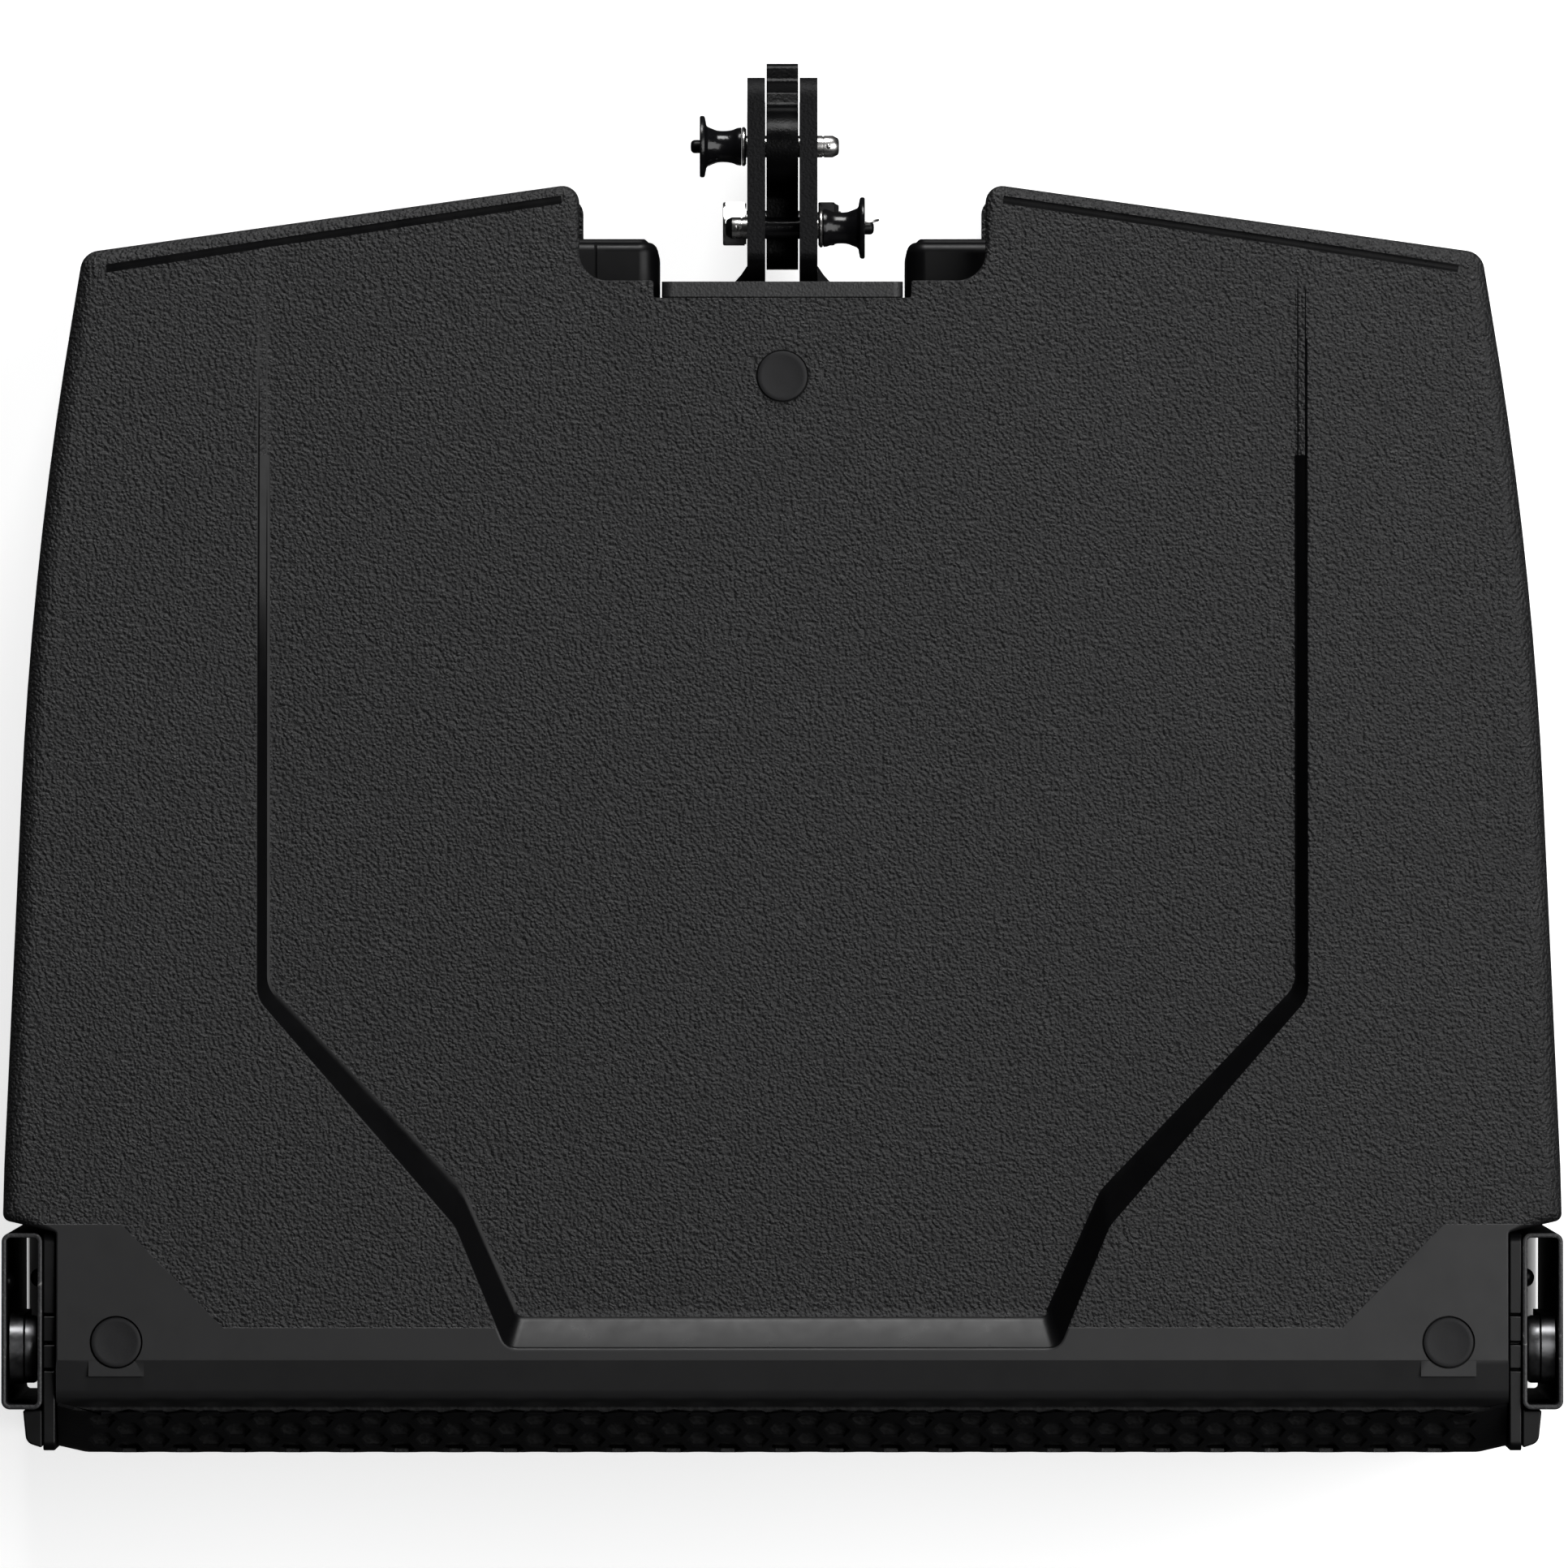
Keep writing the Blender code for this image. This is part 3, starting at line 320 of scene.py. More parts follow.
def plastic(name, colour, rough, grain=0.0, banded=False, sheen=0.35, is_level=False):
    """Moulded black plastic: leather grain, or smooth with a faint orange peel."""
    g = Graph(name)
    if is_level:
        links = {"Vector": g.place, "Rotation": (WEDGE, 0, 0)}
        g.place = g.add("ShaderNodeMapping", links).outputs[0]
    warp = g.noise(420, 2, 0.5)
    wobble = g.add("ShaderNodeVectorMath", {0: g.place, 1: (1, 1, 1)}, operation="MULTIPLY_ADD")
    shift = g.math("MULTIPLY", warp, 0.0009)
    g.put(wobble.inputs[2], shift)
    cells = g.voronoi(1080, "SMOOTH_F1", wobble.outputs[0])
    fine = g.noise(2300, 2, 0.6)
    pebble = g.math("ADD", g.math("MULTIPLY", cells, -1.0), g.math("MULTIPLY", fine, 0.35))
    drift = g.noise(7, 3, 0.55)
    patch = g.noise(38, 4, 0.6)
    tone = g.math("ADD", g.span(drift, 0.3, 0.7, 0.9, 1.06), g.span(patch, 0.3, 0.7, -0.05, 0.05))
    share = grain
    if banded:
        share = g.math("MULTIPLY", g_band(g), grain)
    # Painted shade and light in the grain: darker in the valleys between pebbles, lighter on the
    # pebble tops
    painted_grain_shade = g.math("MULTIPLY", g.span(pebble, -0.75, -0.2, 0.55, 1.15), share)
    plain = g.math("SUBTRACT", 1.0, share)
    shade = g.math("MULTIPLY", g.math("ADD", painted_grain_shade, plain), tone)
    tint = g.add("ShaderNodeVectorMath", {0: colour, "Scale": shade}, operation="SCALE").outputs[0]
    peel = g.noise(300, 2, 0.5)
    low = g.bump(peel, 0.06, 0.0002)
    height = g.math("MULTIPLY", pebble, share)
    normal = g.bump(height, 1.0, 0.0007, low)
    scuff = g.noise(90, 5, 0.75)
    gloss = g.math("ADD", g.span(scuff, 0.35, 0.7, rough - 0.05, rough + 0.05),
            g.math("MULTIPLY", share, 0.07))
    g.shader.inputs["Specular IOR Level"].default_value = sheen
    return g.set(base_color=tint, roughness=gloss, normal=normal)


def g_band(g):
    """1 where the deck is grained, 0 on the smooth band along the front."""
    parts = g.add("ShaderNodeSeparateXYZ", {0: g.place})
    across = g.math("ABSOLUTE", parts.outputs[0])
    along = parts.outputs[1]
    slant = g.math("SUBTRACT", g.math("MULTIPLY", g.math("SUBTRACT", across, BAND_CORNER[0]),
            BAND_SLOPE),
            -BAND_CORNER[1])
    edge = g.math("MAXIMUM", g.math("MINIMUM", slant, STEP_Y * MM), BAND_CORNER[1])
    return g.span(g.math("SUBTRACT", along, edge), -0.00012, 0.00012)


def metal_paint(name, colour, rough, grit=0.0, wear=0.0, sheen=0.25):
    """Powder-coated or painted steel, with the bare metal showing where it rubs."""
    g = Graph(name)
    speck = g.noise(1500, 3, 0.6)
    lumps = g.voronoi(1300)
    coat = g.math("ADD", g.math("MULTIPLY", lumps, 0.7), g.math("MULTIPLY", speck, 0.5))
    tone = g.span(g.noise(60, 4, 0.6), 0.3, 0.7, 0.82, 1.15)
    dust = g.span(speck, 0.35, 0.7, 1 - 0.35 * grit, 1 + 0.5 * grit)
    shade = g.math("MULTIPLY", tone, dust)
    base = g.add("ShaderNodeVectorMath", {0: colour, "Scale": shade}, operation="SCALE").outputs[0]
    scratch = g.noise(240, 8, 0.8, distortion=1.5)
    bare = g.math("MULTIPLY", g.span(scratch, 0.58, 0.66), wear, clamp=True)
    tint = g.mix(bare, base, (0.42, 0.41, 0.40))
    gloss = g.span(g.noise(120, 4, 0.6), 0.3, 0.7, rough - 0.06, rough + 0.08)
    normal = g.bump(coat, 0.15 + 0.5 * grit, 0.0003)
    g.shader.inputs["Specular IOR Level"].default_value = sheen
    return g.set(base_color=tint, roughness=gloss, metallic=bare, normal=normal)


def bare_metal(name, colour, rough, stretch=(1, 1, 1), scratch=0.5):
    """Turned, brushed or zinc-plated metal with fine lines along one direction."""
    g = Graph(name)
    links = {"Vector": g.place, "Scale": stretch}
    lined = g.add("ShaderNodeMapping", links).outputs[0]
    lines = g.noise(900, 4, 0.7, lined)
    stain = g.noise(130, 5, 0.65)
    tone = g.math("MULTIPLY", g.span(lines, 0.25, 0.75, 0.86, 1.1),
            g.span(stain, 0.3, 0.7, 0.75, 1.08))
    tint = g.add("ShaderNodeVectorMath", {0: colour, "Scale": tone}, operation="SCALE").outputs[0]
    gloss = g.math("ADD", g.span(stain, 0.3, 0.7, rough - 0.05, rough + 0.1),
            g.span(lines, 0.3, 0.7, 0, 0.06))
    normal = g.bump(lines, scratch * 0.25, 0.00005)
    return g.set(base_color=tint, roughness=gloss, normal=normal, metallic=1.0)


def soft_black(name, colour, rough, scale, depth, holes=0.0, sheen=0.5):
    """Rubber, foam, paper or painted board: a matte body with an even texture."""
    g = Graph(name)
    cells = g.voronoi(scale, "F1")
    grain = g.noise(scale * 1.7, 4, 0.65)
    height = g.math("ADD", g.math("MULTIPLY", cells, holes), g.math("MULTIPLY", grain, 0.6))
    # The pits that the bump sinks are darker by the holes amount: painted shade
    tone = g.math("MULTIPLY", g.span(grain, 0.3, 0.7, 0.75, 1.25),
            g.span(cells, 0, 0.6, 1 - holes * 0.6, 1 + holes))
    tint = g.add("ShaderNodeVectorMath", {0: colour, "Scale": tone}, operation="SCALE").outputs[0]
    gloss = g.span(grain, 0.3, 0.7, rough - 0.06, rough + 0.04)
    g.shader.inputs["Specular IOR Level"].default_value = sheen
    return g.set(base_color=tint, roughness=gloss, normal=g.bump(height, 0.5, depth))


FLOOR_GLOW = 0.85
# SHADE_Y, SHADE_HALF and SHADE_EDGE place a painted shadow on the floor: a dark box under the
# cabinet's front, in metres.
SHADE_Y = -0.166
SHADE_HALF = (0.2335, 0.029)
SHADE_EDGE = 0.0012


def floor_look():
    """Pale self-lit floor with a painted shadow, dark only under the front, where it shows through
    the tubes.
    """
    g = Graph("studio_floor")
    tone = g.span(g.noise(2.0, 3, 0.5), 0.3, 0.7, 0.80, 0.84)
    tint = g.add("ShaderNodeCombineColor", {0: tone, 1: tone, 2: tone}).outputs[0]
    g.shader.inputs["Emission Strength"].default_value = FLOOR_GLOW
    parts = g.add("ShaderNodeSeparateXYZ", {0: g.place})
    across = g.math("SUBTRACT", g.math("ABSOLUTE", parts.outputs[0]), SHADE_HALF[0])
    along = g.math("SUBTRACT", g.math("ABSOLUTE", g.math("SUBTRACT", parts.outputs[1], SHADE_Y)),
            SHADE_HALF[1])
    # light is 0 inside the painted shadow, where the floor does not glow, and 1 outside it
    light = g.span(g.math("MAXIMUM", across, along), -SHADE_EDGE, 0.0)
    glow = g.add("ShaderNodeVectorMath", {0: tint, "Scale": light}, operation="SCALE").outputs[0]
    return g.set(base_color=tint, roughness=0.75, emission_color=glow)


def make_looks():
    shell = (0.0062, 0.0062, 0.0067)
    for end, is_level in (("", False), ("_level", True)):
        made = plastic(f"grained_shell{end}", shell, 0.5, 1.0, banded=True, is_level=is_level)
        looks[f"shell{end}"] = made
        # The smooth finish is real; its colour, darker than the grained shell's, is painted shade
        # on the recess walls, seat walls and grooves that carry it
        made = plastic(f"smooth_shell{end}", (0.0015, 0.0015, 0.0017), 0.32, sheen=0.115,
                is_level=is_level)
        looks[f"shell_smooth{end}"] = made
        # The front chamfer's look is the shell plastic made lighter: a painted highlight for the
        # light the chamfer reflects
        made = plastic(f"chamfer_shell{end}", (0.017, 0.017, 0.0175), 0.4, sheen=0.115,
                is_level=is_level)
        looks[f"shell_chamfer{end}"] = made
    looks["trim"] = plastic("trim_plastic", (0.002, 0.002, 0.0023), 0.4, sheen=0.14)
    looks["strip"] = plastic("strip_plastic", (0.002, 0.002, 0.0023), 0.4, sheen=0.24)
    looks["cheek"] = plastic("cheek_plastic", (0.003, 0.003, 0.0033), 0.42, sheen=0.14)
    looks["socket"] = plastic("socket_plastic", (0.010, 0.010, 0.011), 0.32)
    looks["grille"] = metal_paint("grille_coat", (0.003, 0.003, 0.0033), 0.42, 0.25)
    looks["powder"] = metal_paint("powder_coat", (0.005, 0.005, 0.0055), 0.52, 0.9, sheen=0.08)
    looks["spine"] = metal_paint("spine_coat", (0.012, 0.012, 0.0125), 0.5, 0.7, sheen=0.4)
    looks["tube"] = metal_paint("tube_coat", (0.006, 0.006, 0.0065), 0.4, 0.6)
    looks["tube_rim"] = metal_paint("tube_rim", (0.02, 0.02, 0.021), 0.42, 0.5, 0.4)
    looks["satin"] = metal_paint("satin_steel", (0.0015, 0.0015, 0.0017), 0.3, 0.2, sheen=0.07)
    looks["gloss"] = metal_paint("anodised_black", (0.003, 0.003, 0.0035), 0.2, 0.0)
    looks["panel"] = metal_paint("panel_coat", (0.022, 0.022, 0.024), 0.45, 0.5)
    looks["basket"] = metal_paint("basket_coat", (0.020, 0.020, 0.022), 0.4, 0.4)
    looks["steel"] = bare_metal("turned_steel", (0.60, 0.59, 0.58), 0.24, (0.2, 1, 1))
    looks["zinc"] = bare_metal("zinc_plate", (0.66, 0.66, 0.66), 0.34, (1, 1, 1), 0.8)
    looks["link"] = bare_metal("brushed_link", (0.16, 0.16, 0.165), 0.30, (1, 1, 0.06))
    looks["contact"] = bare_metal("plated_contact", (0.62, 0.55, 0.36), 0.22)
    looks["aluminium"] = bare_metal("black_anodised", (0.05, 0.05, 0.055), 0.38, (1, 1, 0.1))
    looks["ferrite"] = soft_black("ferrite", (0.055, 0.055, 0.06), 0.6, 900, 0.00006, 0.3)
    looks["rubber"] = soft_black("pad_rubber", (0.007, 0.007, 0.0076), 0.6, 1800, 0.00004, 0.2,
            sheen=0.2)
    looks["surround"] = soft_black("surround_rubber", (0.014, 0.014, 0.015), 0.55, 1200, 0.00003)
    looks["foam"] = soft_black("open_cell_foam", (0.003, 0.003, 0.0032), 0.9, 520, 0.0009, 1.2)
    looks["paper"] = soft_black("cone_paper", (0.030, 0.029, 0.028), 0.8, 600, 0.0001, 0.3)
    looks["board"] = soft_black("baffle_paint", (0.018, 0.018, 0.018), 0.6, 300, 0.0001)
    looks["circuit"] = soft_black("circuit_board", (0.015, 0.07, 0.035), 0.4, 700, 0.00003)
    looks["lens"] = plastic("indicator_lens", (0.03, 0.20, 0.06), 0.2)
    looks["mark"] = plastic("panel_mark", (0.55, 0.55, 0.55), 0.5)


# Solids -------------------------------------------------------------------------------

AXES = {
    "x": lambda a, b, h: (h, a, b),
    "y": lambda a, b, h: (a, h, b),
    "z": lambda a, b, h: (a, b, h),
}


def object_of(name, shape, look):
    """Object with a bmesh in it, in metres, faces out and round sides smooth."""
    bmesh.ops.remove_doubles(shape, verts=shape.verts, dist=1e-7)
    bmesh.ops.recalc_face_normals(shape, faces=shape.faces)
    mesh = bpy.data.meshes.new(name)
    shape.to_mesh(mesh)
    shape.free()
    mesh.materials.append(looks[look])
    mesh.shade_smooth()
    mesh.set_sharp_from_angle(angle=radians(32))
    made = bpy.data.objects.new(name, mesh)
    bpy.context.scene.collection.objects.link(made)
    return made


def skin(name, rings, look, is_torus=False):
    """Skin a stack of equal rings; the ends are capped unless the stack closes."""
    shape = bmesh.new()
    rows = [[shape.verts.new(Vector(p) * MM) for p in ring] for ring in rings]
    count = len(rows[0])
    spans = list(zip(rows, rows[1:]))
    if is_torus:
        spans.append((rows[-1], rows[0]))
    for low, high in spans:
        for i in range(count):
            j = (i + 1) % count
            shape.faces.new((low[i], low[j], high[j], high[i]))
    if not is_torus:
        shape.faces.new(list(reversed(rows[0])))
        shape.faces.new(rows[-1])
    return object_of(name, shape, look)


def prism(name, points, low, high, look, axis="z"):
    put = AXES[axis]
    rings = [[put(a, b, h) for a, b in points] for h in (low, high)]
    return skin(name, rings, look)


def plate(name, outline, holes, low, high, look, axis="z"):
    """Flat plate of one outline with holes right through it."""
    put = AXES[axis]
    shape = bmesh.new()
    edges = []
    for points in (outline, *holes):
        ring = [shape.verts.new(Vector(put(a, b, low)) * MM) for a, b in points]
        for i, vertex in enumerate(ring):
            edges.append(shape.edges.new((ring[i - 1], vertex)))
    bmesh.ops.triangle_fill(shape, use_beauty=True, use_dissolve=False, edges=edges)
    made = bmesh.ops.extrude_face_region(shape, geom=list(shape.faces))
    lift = Vector(put(0, 0, high - low)) * MM
    moved = [item for item in made["geom"] if isinstance(item, bmesh.types.BMVert)]
    bmesh.ops.translate(shape, vec=lift, verts=moved)
    return object_of(name, shape, look)


def lathe(name, profile, centre, look, axis="y", steps=56, is_ring=False, sign=1):
    """Turned solid: profile lists (radius, height along the axis)."""
    put = AXES[axis]
    rings = []
    for radius, height in profile:
        points = circle(centre, radius, steps)
        rings.append([put(a, b, sign * height) for a, b in points])
    return skin(name, rings, look, is_ring)


def curved(knots, steps=6):
    """Smooth profile through its knots, by a Catmull-Rom curve."""
    points = []
    last = len(knots) - 1
    for i in range(last):
        p0, p1, p2, p3 = (Vector(knots[max(0, min(last, j))]) for j in range(i - 1, i + 3))
        for step in range(steps):
            t = step / steps
            spot = p1 * 2 + (p2 - p0) * t + (p0 * 2 - p1 * 5 + p2 * 4 - p3) * t * t
            spot += (p1 * 3 - p0 - p2 * 3 + p3) * t * t * t
            points.append(tuple(spot / 2))
    return points + [tuple(knots[-1])]


def combine(target, others, operation):
    for other in others:
        step = target.modifiers.new(operation.lower(), "BOOLEAN")
        step.operation = operation
        step.solver = "EXACT"
        step.material_mode = "TRANSFER"
        step.object = other
        bake(target)
        bpy.data.objects.remove(other, do_unlink=True)
    return target


def cut(target, *others):
    return combine(target, others, "DIFFERENCE")


def join(target, *others):
    return combine(target, others, "UNION")


def bake(target):
    """Replace the mesh by its evaluated form."""
    graph = bpy.context.evaluated_depsgraph_get()
    result = bpy.data.meshes.new_from_object(target.evaluated_get(graph))
    target.modifiers.clear()
    shape = bmesh.new()
    shape.from_mesh(result)
    bmesh.ops.remove_doubles(shape, verts=shape.verts, dist=1e-6)
    shape.to_mesh(result)
    shape.free()
    result.shade_smooth()
    result.set_sharp_from_angle(angle=radians(32))
    target.data = result


def soften(target, width, segments=2, angle=34):
    """Small rounds on the sharp edges, with flat faces kept flat in the shading."""
    bevel = target.modifiers.new("rounds", "BEVEL")
    bevel.width = width * MM
    bevel.segments = segments
    bevel.limit_method = "ANGLE"
    bevel.angle_limit = radians(angle)
    bevel.harden_normals = False
    weigh = target.modifiers.new("shading", "WEIGHTED_NORMAL")
    weigh.keep_sharp = True
    return target


def taper(target):
    for vertex in target.data.vertices:
        vertex.co.z *= 1 - tan(WEDGE) * vertex.co.y / (DECK * MM)
    return target


def slope(target, side):
    for vertex in target.data.vertices:
        vertex.co.z -= side * tan(WEDGE) * vertex.co.y
    return target


def level(target):
    """Turn the mesh itself, so that the object stands level like the lower deck."""
    target.data.transform(CABINET.to_3x3().to_4x4())
    for holder in target.material_slots:
        kind = holder.material.name.split("_shell")[0]
        key = {"smooth": "shell_smooth_level", "chamfer": "shell_chamfer_level"}.get(kind,
                "shell_level")
        holder.material = looks[key]
    return target


def fit(target, body, slot, *nodes, is_level=False):
    """Carry a piece from the cabinet frame to its place and give it to its body."""
    target.matrix_world = Matrix.Translation(CABINET.translation) if is_level else CABINET
    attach(target, body)
    if nodes:
        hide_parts(*nodes)
    return target


# Cabinet ------------------------------------------------------------------------------


def side_half_width(y):
    bow = max(0.0, y - BOW_START_Y)
    return SIDE_WIDEST - SIDE_DRAFT * (y - STEP_Y) - BOW * bow * bow


def shell_corners():
    """Plan corners as (x, y, corner radius, radius of the edge under the deck)."""
    right = [
        (0.0, FRONT_RIM_Y, 0, 0.6),
        (STRIP_SIDE, FRONT_RIM_Y, 1.5, 0.6),
        (STRIP_SIDE, STEP_Y - 2.4, 1.0, 0.6),
        (SIDE_WIDEST - 0.4, STEP_Y + 1.2, 2.5, 5.0),
    ]
    stations = (86, 110, 140, 170, 198, 214, 230, 246, 262, 278, 294, 310, 326, 342)
    right += [(side_half_width(y), y, 0, 6.0) for y in stations]
    right += [
        (side_half_width(360.0), 361.0, 6.0, 4.5),
        (61.2, 381.9, 5.0, 3.2),
        (61.2, 352.6, 8.5, 1.5),
        (38.8, 352.6, 0.8, 1.0),
        (38.8, 347.4, 0.6, 0.8),
        (0.0, 347.4, 0, 0.8),
    ]
    return mirrored(right)


def turns_left(corners, i):
    before, here, after = (Vector(corners[j][:2]) for j in (i - 1, i, (i + 1) % len(corners)))
    first, second = here - before, after - here
    return first.x * second.y - first.y * second.x > 0


def deck_rings(side, steps=7):
    """Shell solid up to the deck, with its edges rounded over."""
    corners = shell_corners()
    plan = [corner[:2] for corner in corners]
    corner_steps = 8
    rings = []
    for step in range(-1, steps + 1):
        angle = max(0, step) / steps * pi / 2
        inward = [edge * (1 - cos(angle)) for *_, edge in corners]
        moved = inset(plan, inward)
        rounded = []
        heights = []
        for i, (_, _, radius, edge) in enumerate(corners):
            swell = -inward[i] if turns_left(corners, i) else inward[i]
            rounded.append((*moved[i], max(0.3, radius + swell) if radius else 0))
            height = SEAM_GAP / 2 if step < 0 else DECK - edge * (1 - sin(angle))
            heights += [height] * (corner_steps + 1 if radius else 1)
        outline = fillet(rounded, corner_steps)
        rings.append([(x, y, side * h) for (x, y), h in zip(outline, heights)])
    return rings


def recess_drop(y):
    return RECESS_DEPTH * (RECESS_END_Y - y) / (RECESS_END_Y - 36.0)


def recess_cutter(side):
    """Sunken panel: sloping floor, filleted foot, drafted wall, rolled upper edge."""
    stations = (375, 366, 360, 350, 335, 300, 250, 200)
    rows = []
    for corners in (RECESS_FLOOR, RECESS_TOP):
        x = corners[0][0]
        chain = [corners[0]] + [(x, y, 0) for y in stations] + corners[1:]
        right = fillet(chain, 8, is_loop=False)
        # The last corner is the front one, rounded as well
        front = chain[-1]
        ending = fillet([chain[-2], front, (-front[0], front[1], front[2])], 8, is_loop=False)[1:-1]
        right = right[:-1] + ending
        rows.append(right + [(-x, y) for x, y in reversed(right)])
    floor, top = rows

    def grown(points, by):
        flipped = list(reversed(points))
        return list(reversed(inset(flipped, -by)))

    profile = [
        (0.0, -1.5, 0.0),
        (0.0, -0.6, 0.10),
        (0.08, 0.0, 0.45),
        (0.22, 0.0, 1.30),
    ]
    rings = []
    for share, offset, rise in profile:
        base = grown(floor, offset) if offset else floor
        ring = []
        for (x, y), (tx, ty) in zip(base, top):
            depth = max(0.02, recess_drop(y))
            lift = min(rise, depth * rise / 4.0)
            ring.append((x + (tx - x) * share, y + (ty - y) * share, DECK - recess_drop(y) + lift))
        rings.append(ring)
    for offset, fall in ((-0.35, 1.3), (0.0, 0.55), (0.45, 0.16), (1.1, 0.0), (2.0, -0.06)):
        base = grown(top, offset) if offset else top
        ring = []
        for x, y in base:
            depth = recess_drop(y)
            if depth > 0:
                ring.append((x, y, DECK - min(fall, depth * fall / 3.0 if fall > 0 else fall)))
            else:
                ring.append((x, y, DECK - depth + 0.1 - fall * 0.1))
        rings.append(ring)
    brim = grown(top, 2.0)
    rings.append([(x, y, DECK + 9) for x, y in brim])
    rings = [[(x, y, side * z) for x, y, z in ring] for ring in rings]
    made = skin("recess", rings, "shell_smooth")
    made.data.materials.append(looks["shell"])
    # Faces that are not flat, the walls, keep the darker smooth look, which is painted shade; the
    # flat floor takes the grained look
    for face in made.data.polygons:
        face.material_index = int(abs(face.normal.z) > 0.97)
    return made


def widened(corners, by):
    moved = [(x + by, min(y, CAVITY_REAR_Y + 2), r) for x, y, r in corners]
    return moved[:-1] + [(moved[-1][0], moved[-1][1] - by, moved[-1][2])]


def recess_backing(side):
    """Wall under the sunken panel, on the inside of the cabinet."""
    rows = []
    for corners in (widened(RECESS_FLOOR, WALL), widened(RECESS_TOP, WALL)):
        right = fillet(corners, 3, is_loop=False)
        rows.append(right + [(-x, y) for x, y in reversed(right)])
    under = [(x, y, side * (DECK - recess_drop(y) - 4.5)) for x, y in rows[0]]
    upper = [(x, y, side * (DECK - 1)) for x, y in rows[1]]
    return skin("backing", [under, upper], "shell")


def groove_along(points, radius, side, lift):
    """Round cutter swept along a plan path, just above the deck."""
    rings = []
    for i, point in enumerate(points):
        here = Vector(point)
        before = Vector(points[max(0, i - 1)])
        after = Vector(points[min(len(points) - 1, i + 1)])
        along = (after - before).normalized()
        across = Vector((-along.y, along.x))
        ring = []
        for a, b in circle((0, 0), radius, 20):
            spot = here + across * a
            ring.append((spot.x, spot.y, side * (DECK + lift + b)))
        rings.append(ring)
    return skin("groove", rings, "shell_smooth")


def half_shell(name, side):
    """Upper (side 1) or lower (side -1) half of the moulded cabinet."""
    shell = skin(name, deck_rings(side), "shell")
    shell.data.materials.append(looks["shell_smooth"])

    def slab(x, y, z):
        low, high = sorted((side * z[0], side * z[1]))
        return prism("slab", rectangle(x, y), low, high, "shell")

    top = DECK + 6
    nose = fillet([(CREASE_Y, DECK, 0), (17.2, DECK - 2.8, 4.5), (13.9, DECK - 9.5, 0)], 8, False)
    chamfer = nose + [(8.0, DECK - 9.5), (8.0, top), (CREASE_Y, top)]
    # The front chamfer's faces take the lighter look, which is a painted highlight
    cut(shell, prism("chamfer", [(y, side * z) for y, z in chamfer], -240, 240, "shell_chamfer",
            "x"))
    for sign in (-1, 1):
        boss = sorted((sign * 191.7, sign * 208.3))
        join(shell, slab(boss, (23.2, 30.0), (DECK - 4.6, DECK - 0.05)))

    half_x, half_z = 212.5, 100.0
    mouth_z = half_z + 1.2 + tan(WEDGE) * 37
    mouth = slab((-half_x - 0.4, half_x + 0.4), (0, 42), (-5, mouth_z))
    inner = [
        (STRIP_SIDE - WALL, 40.0),
        (STRIP_SIDE - WALL, STEP_Y + WALL),
        (side_half_width(STEP_Y) - WALL, STEP_Y + WALL),
    ]
    inner += [(side_half_width(y) - WALL, y) for y in (198, 250, 300)]
    inner += [(side_half_width(CAVITY_REAR_Y) - WALL - 2, CAVITY_REAR_Y)]
    room = inner + [(-x, y) for x, y in reversed(inner)]
    low, high = sorted((-5 * side, (DECK - WALL) * side))
    cut(shell, mouth, prism("room", room, low, high, "shell"))
    join(shell, recess_backing(side))
    cut(shell, recess_cutter(side))

    # The seat walls take the darker smooth look, which is painted shade
    for x, y in SEATS.values():
        low, high = sorted((side * (DECK - SEAT_DEPTH), side * (DECK + 4)))
        cut(shell, prism("seat", circle((x, y), SEAT_RADIUS, 64), low, high, "shell_smooth"))

    for sign in (-1, 1):
        bay = sorted(sign * x for x in BAY_SIDES)
        window = sorted(sign * x for x in WINDOW_SIDES)
        cut(shell, slab(bay, (BAY_Y, 400), (-5, BAY_HALF_HEIGHT)))
        window_z = WINDOW_Z[1] if side > 0 else -WINDOW_Z[0]
        window_z /= 1 - tan(WEDGE) * BAY_Y / DECK
        cut(shell, slab(window, (325, 350), (-5, window_z)))
        bead = [(sign * x, y) for x, y in ((203.5, 356.2), (150, 364.4), (100, 372.0),
                (66.5, 377.0))]
        # The bead groove takes the darker smooth look, which is painted shade
        cut(shell, groove_along(bead, 2.6, side, 2.25))
    weigh = shell.modifiers.new("shading", "WEIGHTED_NORMAL")
    weigh.keep_sharp = True
    return taper(shell)


def cabinet():
    fit(half_shell("shell_top", 1), "cabinet", "cabinet_shell", "upper_shell")
    bottom = level(half_shell("shell_bottom", -1))
    fit(bottom, "cabinet", "cabinet_shell", "lower_shell", is_level=True)
    for place, (x, y) in SEATS.items():
        shrink = 1 - tan(WEDGE) * y / DECK
        floor = SEAT_DEPTH * shrink - 0.3
        r = PAD_RADIUS
        face = DECK - 0.4
        profile = [(r, DECK - floor), (r, face - 0.45), (r - 0.13, face - 0.14), (r - 0.45, face)]
        profile += [(r - 1.4, face), (r - 1.7, face - 0.06), (2.0, face - 0.06)]
        pad = lathe(f"pad_{place}", profile, (x, y), "rubber", "z", 72)
        fit(slope(pad, 1), "cabinet", "rubber", f"deck_pad_{place}")
        low = -DECK - FOOT_HEIGHT
        profile = [(r, -DECK + floor), (r, low + 0.8), (r - 0.2, low + 0.25), (r - 0.7, low)]
        profile += [(r - 2.4, low), (r - 2.8, low + 0.35), (2.0, low + 0.35)]
        foot = lathe(f"rest_{place}", profile, (x, y), "rubber", "z", 72)
        fit(slope(foot, -1), "cabinet", "rubber", f"foot_{place}")


# Grille -------------------------------------------------------------------------------


